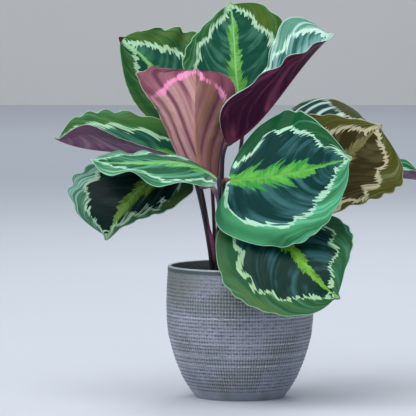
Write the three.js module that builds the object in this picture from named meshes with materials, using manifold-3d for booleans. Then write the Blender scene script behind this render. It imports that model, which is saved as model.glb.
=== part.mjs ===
// Potted calathea. Millimetres, +Z up, the viewer of the photo on the -Y side.
// Origin: on the pot's axis, where its foot meets the ground.
import * as THREE from "three";
import { mergeVertices } from "three/addons/utils/BufferGeometryUtils.js";
import Module from "manifold-3d";

const { PI, abs, cos, exp, hypot, pow, sin } = Math;
const { clamp, degToRad, smoothstep } = THREE.MathUtils;

// ---- pot and soil, mm ------------------------------------------------------------------------
const POT_HEIGHT = 132;
const POT_WALL = 3.2;
const POT_FLOOR = 5;
const RIM_ROUND = 1.2;
const POT_SIDES = 40;
const FIT_GAP = 0.3; // clear space between pieces that rest against each other
const SOIL_GAP = 0.45; // and between the soil and the pot's curved wall
const SOIL_TOP = 124; // soil surface at the wall
const SOIL_CROWN = 1.5; // how much the soil rises to the middle
const SOIL_BROW = 36; // radius where it starts to fall towards the wall
const HOLE_DEPTH = 13; // depth of the plain holes the petioles stand in
const HOLE_CLEAR = 0.7; // what a hole's radius has over the petiole's

// Pot outline from the foot up: outside radius, height.
const POT_OUTLINE = [
  [44, 0], [46.4, 3], [50.4, 8], [57.7, 20], [64.3, 36],
  [68.1, 48], [71.8, 62], [73.4, 78], [73.8, 94], [73.2, 112],
];
// heights at which the pot's inside and the soil follow the wall, from the top down
const WALL_STEPS = [112, 78, 48, 24, 10];

// ---- petioles and blades, mm -----------------------------------------------------------------
const PETIOLE_RADIUS = 1.9;
const PETIOLE_SIDES = 8;
const PETIOLE_STEPS = 9;
const KNEE_RUN = 5; // the petiole's last bend lies this far before the blade
const KNEE_BACK = 3; // and this far behind its underside
const NECK_RUN = 1.5; // straight end of the petiole, in line with the midrib
const NECK_GAP = 0.6; // and clear of the blade's base, whose lobes reach back a little
const FOOT_RISE = 6; // the petiole leaves its hole straight up for this far
const BLADE_THICK = 0.9;
const BLADE_ROWS = 22;
const BLADE_COLS = 8;
const ROW_POWER = 2.2; // the rows lie closer at the base by this power
const MIDRIB_HEIGHT = 1.7; // the raised midrib under the blade, at its base
const MIDRIB_HALF = 1.6; // and its half-width
const HINGE_HALF = 3; // the faces of the two halves run together this near the midrib
const STUB_HALF = 2; // half-width of the blade where the petiole meets it
const EDGE_HALF = 0.7; // least half-width, at the very tip
const DRIP_HALF = 4; // half-width of the small pointed drip tip
// shares of a blade's length
const BODY_END = 0.965; // the round body ends and the drip tip starts
const DRIP_FROM = 0.8; // the drip tip grows out of the body between these two
const DRIP_TO = 0.96;
const STUB_END = 0.1; // the petiole's stub has run out into the blade
const LOBE_REACH = 0.16; // how far from the base its lobes reach
const LOBE_POWER = 1.4; // how late they set in on the way out
const SHOULDER_REACH = 0.2; // and from the tip its shoulders
const DENTS_FROM = 0.15; // the margin's dents are full from here
const DENTS_TO = 0.93; // to here
const DENT_MOST = 0.12; // deepest dent, a share of the half-width
const PLEATS_FROM = 0.4; // share of the half-width at which pleats are full
const PLEAT_SHIFT = 0.2; // place of the first groove between pleats

// ---- the twelve leaves -----------------------------------------------------------------------
// rib: four points of the midrib from base to tip, a third of the way apart.
// face: which way the upper face looks at base, middle and tip.
// left, right: half-widths of the two halves in five steps from base to tip, blended in outline();
//   left and right as seen on the upper face, looking to the tip.
// lobe, shoulder: how far the margin reaches back past the base and forward beside the tip,
//   shares of the length. droop: how far the shoulder's corner falls back again.
// fold, curl: degrees each half is raised at the midrib, and bent on its way to the margin,
//   at base, middle and tip.
// wave: height, count and phase of the margin's waves. cut: depth, count and phase of its dents.
// foot: where its petiole stands in the soil. arch: how long the petiole's end runs on the
//   midrib's line, a share of its rise. sweep: how far the side veins lean to the tip.
// pleat: height and count of the pleats. tilt: how much more than the side veins they lean.
// blunt: how round the two ends are, from 0.5 for an oval to 0 for a square end.
// rows, cols: cells of the mesh.
const LEAVES = {
  front_right: {
    rib: [[-12, -50, 220], [28, -66, 224], [68, -82, 233], [108, -94, 244]],
    face: [[-0.1, -1, 0.35], [0, -1, 0.32], [0.2, -1, 0.2]],
    left: [58, 68, 66, 76, 36], right: [78, 78, 70, 68, 48], lobe: [0, 0.36],
    curl: [[-10, -15, -10], [-5, -10, -5]],
    wave: [[2, 4, 0], [2, 4, 0.3]], cut: [[1, 6, 0.4], [1.5, 7, 0]], foot: [-17, -11], arch: 0.05,
  },
  hanging_right: {
    rib: [[21, -42, 188], [46, -72, 158], [70, -98, 130], [96, -110, 108]],
    face: [[0, -1, 0.7], [0, -1, 0.45], [0.1, -1, 0.3]],
    left: [45, 56, 58, 74, 34], right: [80, 80, 74, 72, 62], lobe: [0.2, 0.35],
    cut: [[1.5, 7, 0], [1.5, 7, 0]], foot: [-10.5, -15], arch: 0.08,
  },
  bronze_right: {
    rib: [[53, -12, 190], [83, -6, 219], [114, 0, 248], [142, 6, 272]],
    face: [[0.1, -1, 0.1], [0.1, -1, 0.1], [0.1, -1, 0.1]],
    left: [60, 62, 76, 58, 22], right: [34, 38, 44, 56, 106],
    cut: [[3, 5, 0.1], [3, 6, 0]], foot: [-12.5, -5], arch: 0.12,
  },
  back_right: {
    rib: [[26, 20, 246], [63, 34, 263], [95, 44, 274], [128, 48, 274]],
    face: [[-0.3, -0.6, 0.8], [0, -0.6, 0.8], [0.3, -0.6, 0.8]],
    left: [10, 20, 50, 52, 24], right: [40, 46, 48, 44, 20],
    cut: [[1, 6, 0], [1, 6, 0]], foot: [-12, 4], arch: 0.1,
  },
  far_right: {
    rib: [[91, 40, 210], [127, 50, 215], [163, 56, 216], [192, 60, 210]],
    face: [[0, -0.1, 1], [0, -0.1, 1], [0, -0.1, 1]],
    left: [30, 40, 42, 40, 20], right: [30, 40, 42, 44, 30],
    fold: [[30, 36, 38], [20, 22, 24]],
    wave: [[1.5, 3, 0], [1.5, 3, 0]], cut: [[1, 6, 0], [1, 6, 0]], foot: [-6.5, -1], arch: 0.2,
  },
  top: {
    rib: [[1, 18, 292], [-4, 26, 324], [-6, 36, 358], [-10, 46, 394]],
    face: [[0, -1, 0.3], [0, -1, 0.2], [0, -1, 0.4]],
    left: [54, 58, 56, 46, 26], right: [50, 56, 60, 64, 58], shoulder: [0, 0.1],
    cut: [[1.5, 6, 0], [3, 6, 0.2]], foot: [-18, 5], arch: 0.2,
  },
  top_left: {
    rib: [[-43, 36, 268], [-68, 44, 303], [-94, 52, 334], [-122, 58, 358]],
    face: [[-0.2, -1, 0.3], [-0.1, -1, 0.3], [0, -1, 0.4]],
    left: [44, 46, 46, 40, 24], right: [40, 60, 70, 64, 32],
    fold: [[-35, -35, -25], [0, 0, 0]],
    wave: [[0, 4, 0], [3, 5, 0]], cut: [[0, 4, 0], [5, 7, 0]], foot: [-24, 10], arch: 0.2,
  },
  upright: {
    rib: [[-28, -25, 212], [-42, -28, 246], [-45, -20, 286], [-44, 5, 328]],
    face: [[0, 1, 0.1], [0, 1, 0.3], [0, 0.7, 0.7]],
    left: [28, 44, 50, 48, 64], right: [20, 36, 54, 8, 112], lobe: [0, 0],
    shoulder: [0.1, 0.06], droop: [0.1, 0.01],
    curl: [[130, 76, 15], [172, 88, 8]],
    cut: [[1, 3, 0.7], [1, 3, 0.2]], foot: [-24, -3], arch: 0.2,
    sweep: 0.8, pleat: [-2, 2.6], tilt: 1, blunt: 0.3, cols: 14,
  },
  rising_right: {
    rib: [[-13, -30, 254], [24, -30, 284], [56, -24, 324], [93, -12, 363]],
    face: [[-0.7, 0.1, 0.7], [-0.7, 0.1, 0.7], [-0.7, -0.3, 0.7]],
    left: [36, 34, 26, 20, 100], right: [84, 34, 32, 36, 20], lobe: [0, 0],
    fold: [[50, 58, 66], [45, 42, 10]],
    wave: [[3, 4, 0], [3, 4, 0]], cut: [[0, 4, 0], [0, 4, 0]], foot: [-17.5, -3], arch: 0.05,
    cols: 10,
  },
  upper_left: {
    rib: [[-50, 24, 233], [-98, 14, 243], [-144, 4, 247], [-185, -6, 259]],
    face: [[0, -0.1, 1], [0, -0.1, 1], [0, -0.1, 1]],
    left: [4, 14, 22, 36, 110], right: [46, 50, 44, 50, 64],
    fold: [[24, 30, 34], [52, 52, 44]],
    cut: [[0, 4, 0], [4, 5, 0.1]], foot: [-27, 2], arch: 0.12, cols: 10,
  },
  middle_left: {
    rib: [[-23, -52, 222], [-63, -62, 237], [-106, -66, 237], [-148, -66, 241]],
    face: [[0, -0.05, 1], [0, -0.05, 1], [0, -0.05, 1]],
    left: [56, 56, 48, 44, 50], right: [26, 34, 40, 44, 70], lobe: [0, 0],
    fold: [[-26, -16, -6], [6, 8, 10]],
    wave: [[6, 2, 0.05], [2, 3, 0]], cut: [[0, 4, 0], [0, 4, 0]], foot: [-23, -12], arch: 0.05,
    cols: 10,
  },
  drooping_left: {
    rib: [[-52, -36, 226], [-89, -46, 218], [-115, -54, 193], [-133, -56, 161]],
    face: [[0.1, -0.8, 0.6], [0, -1, 0.4], [-0.2, -1, 0.2]],
    left: [40, 44, 36, 20, 8], right: [12, 30, 66, 76, 84],
    fold: [[0, 0, 0], [-45, -22, 0]],
    cut: [[1.5, 5, 0], [5, 6, 0]], foot: [-28, -8], arch: 0.06,
  },
};

// ---- maths -----------------------------------------------------------------------------------
const vec = (a) => new THREE.Vector3(...a);

// value at t of the parabola through three values at 0, 1/2 and 1
const through3 = ([a, b, c], t) => a * (1 - t) * (1 - 2 * t) + 4 * b * t * (1 - t) + c * t * (2 * t - 1);

// the part of "a" that is square to the unit vector "b", made one long
const squareTo = (a, b) => a.clone().addScaledVector(b, -a.dot(b)).normalize();

const mean = (list) => list.reduce((a, b) => a + b, 0) / list.length;

// cubic curve through four points that lie a third of the way apart
function curveThrough([p0, p1, p2, p3]) {
  const handle = (a, b, c, d) => a.clone().multiplyScalar(-5).addScaledVector(b, 18)
    .addScaledVector(c, -9).addScaledVector(d, 2).divideScalar(6);
  return new THREE.CubicBezierCurve3(p0, handle(p0, p1, p2, p3), handle(p3, p2, p1, p0), p3);
}

// ---- a leaf ----------------------------------------------------------------------------------
const PLAIN = {
  lobe: [0.2, 0.2], shoulder: [0, 0], droop: [0, 0],
  fold: [[0, 0, 0], [0, 0, 0]], curl: [[0, 0, 0], [0, 0, 0]],
  wave: [[0, 4, 0], [0, 4, 0]], pleat: [0, 9], tilt: 0, sweep: 0.5, blunt: 0.5,
  rows: BLADE_ROWS, cols: BLADE_COLS,
};

class Leaf {
  constructor(name, spec) {
    Object.assign(this, PLAIN, spec, { name });
    this.curve = curveThrough(this.rib.map(vec));
    this.length = this.curve.getLength();
    this.mid = [mean(this.left), mean(this.right)];
  }

  // point and direction of the midrib at a share of its length, straight on past its ends
  along(share) {
    const inside = clamp(share, 0, 1);
    const ahead = this.curve.getTangentAt(inside);
    const past = (share - inside) * this.length;
    return { at: this.curve.getPointAt(inside).addScaledVector(ahead, past), ahead };
  }

  // way the upper face looks at the midrib
  normal(share, ahead) {
    const axis = (i) => through3(this.face.map((f) => f[i]), share);
    return squareTo(new THREE.Vector3(axis(0), axis(1), axis(2)), ahead);
  }

  // half-width at a share of the length: a round end times five widths under Bernstein weights
  outline(share, side) {
    const x = clamp(share / BODY_END, 0, 1);
    const widths = side ? this.right : this.left;
    const weights = [1, 4, 6, 4, 1].map((k, i) => k * pow(x, i) * pow(1 - x, 4 - i));
    const blend = weights.reduce((sum, weight, i) => sum + weight * widths[i], 0);
    const body = pow(4 * x * (1 - x), this.blunt) * blend;
    const tipward = clamp((1 - share) / (1 - BODY_END), 0, 1);
    const drip = DRIP_HALF * pow(tipward, 0.75) * smoothstep(share, DRIP_FROM, DRIP_TO);
    const stub = STUB_HALF * (1 - smoothstep(share, 0, STUB_END));
    return hypot(body, drip, stub, EDGE_HALF);
  }

  // point of the blade's middle surface and its normal there. u runs 0..1 over the side veins from
  // base to tip, v -1..1 along them from margin to margin
  surface(u, v) {
    const a = abs(v);
    const side = v < 0 ? 0 : 1;
    const sign = side ? 1 : -1;
    const lag = pow(u, 0.4) * pow(clamp(1 - u / BODY_END, 0, 1), 1.5);
    const vein = u + this.sweep * lag * pow(a, 1.4);
    const [depth, dents, shift] = this.cut[side];
    const half = this.outline(vein, side);
    const dent = depth * pow(abs(cos(PI * (dents * u + shift))), 3) * pow(a, 4);
    const ends = smoothstep(u, 0.02, DENTS_FROM) * (1 - smoothstep(u, DENTS_TO, 1));
    const x = v * (half - Math.min(dent * ends, DENT_MOST * half));
    const mid = this.mid[side];
    const out = abs(x) / mid;
    const back = this.lobe[side] * exp(-pow(vein / LOBE_REACH, 2)) * pow(out, LOBE_POWER);
    const forth = this.shoulder[side] * out - this.droop[side] * pow(out, 3);
    const place = vein - back + forth * exp(-pow((1 - vein) / SHOULDER_REACH, 2));
    const share = clamp(place, 0, 1);
    const { at, ahead } = this.along(place);
    const up = this.normal(share, ahead);
    const across = ahead.clone().cross(up);
    // each half leaves the midrib at its fold angle and bends evenly on the way out
    const fold = degToRad(through3(this.fold[side], share));
    const bend = degToRad(through3(this.curl[side], share));
    const curl = abs(bend) < 1e-4 ? 1e-4 : bend;
    const turn = fold + curl * out;
    at.addScaledVector(across, sign * (mid / curl) * (sin(turn) - sin(fold)));
    at.addScaledVector(up, (mid / curl) * (cos(fold) - cos(turn)));
    const lean = turn * smoothstep(abs(x), 0, HINGE_HALF);
    const normal = up.multiplyScalar(cos(lean)).addScaledVector(across, -sign * sin(lean));
    // waves of the margin and pleats along the veins, calm at both ends
    const calm = pow(sin(PI * clamp(u, 0, 1)), 0.6);
    const [height, count, phase] = this.wave[side];
    const [rise, pleats] = this.pleat;
    const wave = height * pow(a, 2.2) * sin(2 * PI * (count * u + phase));
    const fan = abs(sin(PI * pleats * (u - this.tilt * a - PLEAT_SHIFT))) - 0.6;
    const pleat = rise * clamp(a / PLEATS_FROM, 0, 1) * fan;
    at.addScaledVector(normal, (wave + pleat) * calm);
    const rib = MIDRIB_HEIGHT * pow(1 - u, 1.3) * exp(-pow(x / MIDRIB_HALF, 2));
    return { at, normal, rib };
  }

  // thin closed sheet: the upper and lower faces carry the same triangles
  blade() {
    const { rows, cols } = this;
    const upper = [];
    const lower = [];
    for (let i = 0; i <= rows; i++) {
      const u = 1 - pow(1 - pow(i / rows, ROW_POWER), 1.6); // closer rows at both ends
      for (let j = 0; j <= cols; j++) {
        const { at, normal, rib } = this.surface(u, (2 * j) / cols - 1);
        upper.push(at.clone().addScaledVector(normal, BLADE_THICK / 2));
        lower.push(at.clone().addScaledVector(normal, -BLADE_THICK / 2 - rib));
      }
    }
    const top = (i, j) => i * (cols + 1) + j;
    const under = (i, j) => upper.length + top(i, j);
    const faces = [];
    for (let i = 0; i < rows; i++) {
      for (let j = 0; j < cols; j++) {
        const corner = [[i, j], [i + 1, j], [i + 1, j + 1], [i, j + 1]];
        // the diagonal follows the side veins on both halves
        const pair = j < cols / 2 ? [[0, 3, 2], [0, 2, 1]] : [[0, 3, 1], [3, 2, 1]];
        for (const [a, b, c] of pair) {
          faces.push(top(...corner[a]), top(...corner[b]), top(...corner[c]));
          faces.push(under(...corner[a]), under(...corner[c]), under(...corner[b]));
        }
      }
    }
    const rim = [];
    for (let j = 0; j < cols; j++) rim.push([0, j]);
    for (let i = 0; i < rows; i++) rim.push([i, cols]);
    for (let j = cols; j > 0; j--) rim.push([rows, j]);
    for (let i = rows; i > 0; i--) rim.push([i, 0]);
    rim.forEach((here, k) => {
      const next = rim[(k + 1) % rim.length];
      faces.push(top(...here), under(...next), top(...next));
      faces.push(top(...here), under(...here), under(...next));
    });
    const geometry = new THREE.BufferGeometry().setFromPoints([...upper, ...lower]);
    geometry.setIndex(faces);
    geometry.computeVertexNormals();
    return geometry;
  }

  // petiole: upright in its hole, a smooth bow up to the knee behind the blade, and on to its base
  petiole() {
    const { at, ahead } = this.along(0);
    const looks = this.normal(0, ahead);
    const [x, y] = this.foot;
    const foot = new THREE.Vector3(x, y, SOIL_TOP + SOIL_CROWN + FOOT_RISE);
    const knee = at.clone().addScaledVector(ahead, -KNEE_RUN).addScaledVector(looks, -KNEE_BACK);
    const span = knee.clone().sub(foot);
    const bow = this.arch * span.length();
    const first = foot.clone().add(new THREE.Vector3(0.2, 0.2, 0.36).multiply(span));
    const second = knee.clone();
    second.addScaledVector(ahead, -0.85 * bow).addScaledVector(looks, -0.5 * bow);
    const end = at.clone().addScaledVector(ahead, -NECK_GAP);
    const neck = end.clone().addScaledVector(ahead, -NECK_RUN);
    const path = new THREE.CurvePath();
    path.add(new THREE.LineCurve3(foot.clone().setZ(SOIL_TOP - HOLE_DEPTH + FIT_GAP), foot));
    path.add(new THREE.CubicBezierCurve3(foot, first, second, knee));
    path.add(new THREE.LineCurve3(knee, neck));
    path.add(new THREE.LineCurve3(neck, end));
    const ring = new THREE.Path().absarc(0, 0, PETIOLE_RADIUS, 0, 2 * PI);
    const section = new THREE.Shape(ring.getPoints(PETIOLE_SIDES / 2));
    return new THREE.ExtrudeGeometry(section, { steps: PETIOLE_STEPS, extrudePath: path });
  }
}

// ---- pot and soil ----------------------------------------------------------------------------
// outside radius of the pot at a height
function potRadius(z) {
  const above = POT_OUTLINE.findIndex(([, height]) => height > z);
  const i = above > 0 ? above : POT_OUTLINE.length - 1;
  const [[r0, z0], [r1, z1]] = [POT_OUTLINE[i - 1], POT_OUTLINE[i]];
  return r0 + ((r1 - r0) * (z - z0)) / (z1 - z0);
}

// solid of revolution about Z from radius, height pairs that start and end on the axis
function revolve(outline) {
  const profile = outline.map(([r, z]) => new THREE.Vector2(r, z));
  return new THREE.LatheGeometry(profile, POT_SIDES).rotateX(PI / 2);
}

function pot() {
  const top = potRadius(POT_HEIGHT);
  const bevel = 0.3 * RIM_ROUND;
  const rim = [
    [top, POT_HEIGHT - RIM_ROUND], [top - bevel, POT_HEIGHT - bevel], [top - RIM_ROUND, POT_HEIGHT],
    [top - POT_WALL + RIM_ROUND, POT_HEIGHT], [top - POT_WALL, POT_HEIGHT - RIM_ROUND],
  ];
  const inside = WALL_STEPS.map((z) => [potRadius(z) - POT_WALL, z]);
  const floor = [[potRadius(POT_FLOOR) - POT_WALL - 1, POT_FLOOR], [0, POT_FLOOR]];
  return revolve([[0, 0], ...POT_OUTLINE, ...rim, ...inside, ...floor]);
}

// closed solid of a geometry, for cutting
function solid(wasm, geometry) {
  geometry.deleteAttribute("normal");
  geometry.deleteAttribute("uv");
  const { attributes, index } = mergeVertices(geometry, 1e-3);
  const mesh = { numProp: 3, vertProperties: attributes.position.array, triVerts: index.array };
  return new wasm.Manifold(new wasm.Mesh(mesh));
}

// soil that fills the pot, low at the wall, with a plain hole for each petiole
function soil(wasm, leaves) {
  const gap = POT_WALL + SOIL_GAP;
  const bottom = POT_FLOOR + FIT_GAP;
  const side = WALL_STEPS.toReversed().map((z) => [potRadius(z) - gap, z]);
  const brim = [potRadius(SOIL_TOP) - gap, SOIL_TOP];
  const brow = [SOIL_BROW, SOIL_TOP + 0.8 * SOIL_CROWN];
  const crown = [0, SOIL_TOP + SOIL_CROWN];
  const floor = [[0, bottom], [potRadius(bottom) - gap - 1, bottom]];
  let body = solid(wasm, revolve([...floor, ...side, brim, brow, crown]));
  const wide = PETIOLE_RADIUS + HOLE_CLEAR;
  const tall = HOLE_DEPTH + 2 * SOIL_CROWN;
  const hole = new THREE.CylinderGeometry(wide, wide, tall, PETIOLE_SIDES);
  const plug = solid(wasm, hole.rotateX(PI / 2).translate(0, 0, SOIL_TOP - HOLE_DEPTH + tall / 2));
  for (const { foot } of leaves) body = body.subtract(plug.translate([...foot, 0]));
  const { vertProperties, triVerts } = body.getMesh();
  const geometry = new THREE.BufferGeometry();
  geometry.setAttribute("position", new THREE.BufferAttribute(vertProperties, 3));
  geometry.setIndex([...triVerts]);
  geometry.computeVertexNormals();
  return geometry;
}

// ---- the whole -------------------------------------------------------------------------------
const paint = (color, roughness) => new THREE.MeshStandardMaterial({ color, roughness, metalness: 0 });
const glaze = paint(0x77787e, 0.7);
const earth = paint(0x2c2019, 0.95);
const green = paint(0x2f7a4a, 0.45);
const bronze = paint(0x6b5a2a, 0.5);
const maroon = paint(0x54223a, 0.5);

const wasm = await Module();
wasm.setup();

const plant = new THREE.Group();
plant.name = "potted_calathea";
function put(name, geometry, material) {
  const mesh = new THREE.Mesh(geometry, material);
  mesh.name = name;
  plant.add(mesh);
}
const leaves = Object.entries(LEAVES).map(([name, spec]) => new Leaf(name, spec));
put("pot", pot(), glaze);
put("soil", soil(wasm, leaves), earth);
for (const leaf of leaves) {
  put(`blade_${leaf.name}`, leaf.blade(), leaf.name === "bronze_right" ? bronze : green);
  put(`petiole_${leaf.name}`, leaf.petiole(), maroon);
}

export default plant;
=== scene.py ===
"""Potted calathea: the looks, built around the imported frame.

Metres, +Z up, the viewer of the photo on the -Y side, the origin where the pot's axis meets the
ground. Shapes are worked out in millimetres as numpy arrays and scaled when they become meshes.
Each leaf's numbers are those of the solid model, so the finer blade lies where its solid does.
"""

from __future__ import annotations

import logging
import math
from dataclasses import dataclass, field
from enum import Enum
from typing import Any, Mapping, Sequence

import bpy
import numpy as np
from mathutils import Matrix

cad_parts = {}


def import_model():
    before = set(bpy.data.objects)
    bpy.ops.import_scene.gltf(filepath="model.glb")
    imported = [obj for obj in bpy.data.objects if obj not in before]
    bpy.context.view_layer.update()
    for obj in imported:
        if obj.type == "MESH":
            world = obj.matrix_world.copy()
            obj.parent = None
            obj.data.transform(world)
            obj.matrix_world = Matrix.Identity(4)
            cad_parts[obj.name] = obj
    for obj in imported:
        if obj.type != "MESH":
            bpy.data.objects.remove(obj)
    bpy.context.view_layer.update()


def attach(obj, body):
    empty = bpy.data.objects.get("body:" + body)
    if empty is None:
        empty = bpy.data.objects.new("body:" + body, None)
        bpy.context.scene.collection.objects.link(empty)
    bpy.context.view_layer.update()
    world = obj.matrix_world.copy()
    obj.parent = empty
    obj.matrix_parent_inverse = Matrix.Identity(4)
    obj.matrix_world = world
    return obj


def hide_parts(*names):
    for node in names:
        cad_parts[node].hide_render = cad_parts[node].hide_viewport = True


log = logging.getLogger("calathea")

Array = np.ndarray
Colour = tuple[float, float, float]
Pair = tuple[float, float]
Triple = tuple[float, float, float]
Five = tuple[float, float, float, float, float]

MM = 0.001
BODY = "root"
UV_NAME = "pattern"  # the map that the patterns of blades, stalks and pot follow
NOISE_GAIN = 2.6  # brings a Noise node's output to about -1 to 1
NOISE_LATTICE = 64  # random heights repeat after as many steps


# ---- shader maths ----------------------------------------------------------------------------


class Value:
    """A number socket that takes part in Python expressions; each operator adds a Math node."""

    def __init__(self, nodes: Nodes, socket: bpy.types.NodeSocket) -> None:
        """Wraps an output socket of the tree that "nodes" writes."""
        self.nodes = nodes
        self.socket = socket

    def __add__(self, other: Value | float) -> Value:
        """Sum."""
        return self.nodes.math("ADD", self, other)

    __radd__ = __add__

    def __sub__(self, other: Value | float) -> Value:
        """Difference."""
        return self.nodes.math("SUBTRACT", self, other)

    def __rsub__(self, other: float) -> Value:
        """Difference, with the plain number first."""
        return self.nodes.math("SUBTRACT", other, self)

    def __mul__(self, other: Value | float) -> Value:
        """Product."""
        return self.nodes.math("MULTIPLY", self, other)

    __rmul__ = __mul__

    def __abs__(self) -> Value:
        """Size without its sign."""
        return self.nodes.math("ABSOLUTE", self)

    def sine(self) -> Value:
        """Sine of an angle in radians."""
        return self.nodes.math("SINE", self)

    def above(self, other: Value | float) -> Value:
        """The larger of the two."""
        return self.nodes.math("MAXIMUM", self, other)

    def step(self, low: float, high: float) -> Value:
        """Smooth step: 0 below low, 1 above high; with low above high it falls instead.

        Args:
            low: Value at which the step is 0.
            high: Value at which the step is 1.

        Returns:
            The step, from 0 to 1.
        """
        settings = {"interpolation_type": "SMOOTHSTEP"}
        sockets = {"Value": self, "From Min": low, "From Max": high}
        return Value(self.nodes, self.nodes.add("ShaderNodeMapRange", settings, sockets).outputs[0])


Input = Any  # a Value, a socket, or a plain number, colour or vector


class Nodes:
    """Writes the node tree of one material."""

    def __init__(self, name: str) -> None:
        """Makes an empty material.

        Args:
            name: Name of the material.
        """
        self.material = bpy.data.materials.new(name)
        self.material.use_nodes = True
        self.tree = self.material.node_tree
        self.tree.nodes.clear()

    def add(self, kind: str, settings: Mapping[str, Any], sockets: Mapping[Any, Input]) -> bpy.types.Node:
        """Adds any node.

        Args:
            kind: Node type, as Blender names it.
            settings: Properties of the node, set first. "stops" are a ramp's (place, colour) pairs.
            sockets: Values or links of its inputs, by name or index.

        Returns:
            The node.
        """
        node = self.tree.nodes.new(kind)
        for key, value in settings.items():
            if key == "stops":
                self._set_stops(node.color_ramp, value)
            else:
                setattr(node, key, value)
        for key, value in sockets.items():
            socket = node.inputs[key]
            if isinstance(value, Value):
                self.tree.links.new(value.socket, socket)
            elif isinstance(value, bpy.types.NodeSocket):
                self.tree.links.new(value, socket)
            elif socket.type == "RGBA":
                socket.default_value = (*value[:3], 1.0)
            else:
                socket.default_value = value
        return node

    @staticmethod
    def _set_stops(ramp: bpy.types.ColorRamp, stops: Sequence[tuple[float, Colour]]) -> None:
        """Gives a ramp its stops, from left to right."""
        while len(ramp.elements) < len(stops):
            ramp.elements.new(1.0)
        for element, (place, colour) in zip(ramp.elements, stops):
            element.position = place
            element.color = (*colour, 1.0)

    def math(self, operation: str, *values: Input) -> Value:
        """Adds a Math node on the values, in their order."""
        node = self.add("ShaderNodeMath", {"operation": operation}, dict(enumerate(values)))
        return Value(self, node.outputs[0])

    def attribute(self, name: str) -> Value:
        """Number that the mesh carries at each point under that name."""
        return Value(self, self.add("ShaderNodeAttribute", {"attribute_name": name}, {}).outputs["Fac"])

    def uv(self, name: str) -> tuple[Value, Value]:
        """The two coordinates of a UV map of the piece."""
        source = self.add("ShaderNodeUVMap", {"uv_map": name}, {}).outputs[0]
        parts = self.add("ShaderNodeSeparateXYZ", {}, {0: source})
        return Value(self, parts.outputs[0]), Value(self, parts.outputs[1])

    def place(self) -> bpy.types.NodeSocket:
        """Object coordinates, in metres in the frame, since every object sits at the origin."""
        return self.add("ShaderNodeTexCoord", {}, {}).outputs["Object"]

    def vector(self, x: Input, y: Input = 0.0, z: Input = 0.0) -> bpy.types.NodeSocket:
        """A vector of three numbers or values."""
        return self.add("ShaderNodeCombineXYZ", {}, {0: x, 1: y, 2: z}).outputs[0]

    def noise(self, where: Input, scale: float, detail: float = 2.0, rough: float = 0.5) -> Value:
        """Smooth noise about 0.

        Args:
            where: Vector that the noise is read at.
            scale: Features per unit of that vector.
            detail: Octaves.
            rough: Strength of each octave against the one before.

        Returns:
            Noise of about -1 to 1.
        """
        sockets = {"Vector": where, "Scale": scale, "Detail": detail, "Roughness": rough}
        node = self.add("ShaderNodeTexNoise", {"noise_dimensions": "3D"}, sockets)
        return (Value(self, node.outputs[0]) - 0.5) * NOISE_GAIN

    def mix(self, share: Input, first: Input, second: Input) -> bpy.types.NodeSocket:
        """Colour between two colours.

        Args:
            share: 0 gives the first, 1 the second.
            first: Colour or colour socket.
            second: Colour or colour socket.

        Returns:
            The mixed colour's socket.
        """
        node = self.add("ShaderNodeMix", {"data_type": "RGBA"}, {"Factor": share, 6: first, 7: second})
        return node.outputs[2]

    def tone(self, colour: Input, gain: Value) -> bpy.types.NodeSocket:
        """A colour made lighter or darker by a value about 1."""
        grey = self.vector(gain, gain, gain)
        node = self.add("ShaderNodeVectorMath", {"operation": "MULTIPLY"}, {0: colour, 1: grey})
        return node.outputs[0]

    def bump(self, height: Value) -> bpy.types.NodeSocket:
        """Normal of a relief whose height is in millimetres."""
        return self.add("ShaderNodeBump", {}, {"Height": height, "Distance": MM}).outputs[0]

    def finish(self, sockets: Mapping[str, Input]) -> bpy.types.Material:
        """Adds the surface shader and the output.

        Args:
            sockets: Inputs of the Principled shader.

        Returns:
            The finished material.
        """
        shader = self.add("ShaderNodeBsdfPrincipled", {}, sockets)
        self.add("ShaderNodeOutputMaterial", {}, {"Surface": shader.outputs[0]})
        return self.material


# ---- arrays ----------------------------------------------------------------------------------


def step(x: Array, low: float, high: float) -> Array:
    """Smooth step of x: t*t*(3 - 2t), with t the share of the way from low to high."""
    t = np.clip((x - low) / (high - low), 0, 1)
    return t * t * (3 - 2 * t)


def unit(a: Array) -> Array:
    """Vectors made one long."""
    return a / np.linalg.norm(a, axis=-1, keepdims=True)


def bell(x: Array, middle: float, reach: float) -> Array:
    """Bell curve of x: exp(-((x - middle) / reach)^2), 1 at its middle."""
    return np.exp(-(((x - middle) / reach) ** 2))


def cubic(corners: Sequence[Array], t: Array) -> Array:
    """Cubic curve p0 (1-t)^3 + 3 p1 t (1-t)^2 + 3 p2 t^2 (1-t) + p3 t^3.

    Args:
        corners: Its first point, the two that draw it aside, and its last point.
        t: Shares of the way, in a column.

    Returns:
        One point for each t.
    """
    p0, p1, p2, p3 = corners
    return p0 * (1 - t) ** 3 + 3 * p1 * t * (1 - t) ** 2 + 3 * p2 * t**2 * (1 - t) + p3 * t**3


def lengths(line: Array) -> Array:
    """Length of a line of points from its start to each of them."""
    return np.r_[0, np.cumsum(np.linalg.norm(np.diff(line, axis=0), axis=1))]


def read_rows(table: Array, run: Array, at: Array) -> Array:
    """Rows of a table that stand at the lengths in run, read by straight lines at other ones."""
    return np.stack([np.interp(at, run, column) for column in table.T], -1)


def through3(values: Sequence[Any], t: Array) -> Array:
    """Parabola through three numbers or points at 0, 1/2 and 1.

    Args:
        values: Three numbers, or three points.
        t: Where to read it.

    Returns:
        One number, or one point, for each t.
    """
    a, b, c = (np.asarray(value, float) for value in values)
    t = t[..., None] if a.ndim else t
    return a * (1 - t) * (1 - 2 * t) + 4 * b * t * (1 - t) + c * t * (2 * t - 1)


def blend5(values: Five, t: Array) -> Array:
    """Five values under Bernstein weights, a smooth curve from the first to the last."""
    weights = (1, 4, 6, 4, 1)
    terms = [k * value * t**i * (1 - t) ** (4 - i) for i, (k, value) in enumerate(zip(weights, values))]
    return sum(terms)


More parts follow.
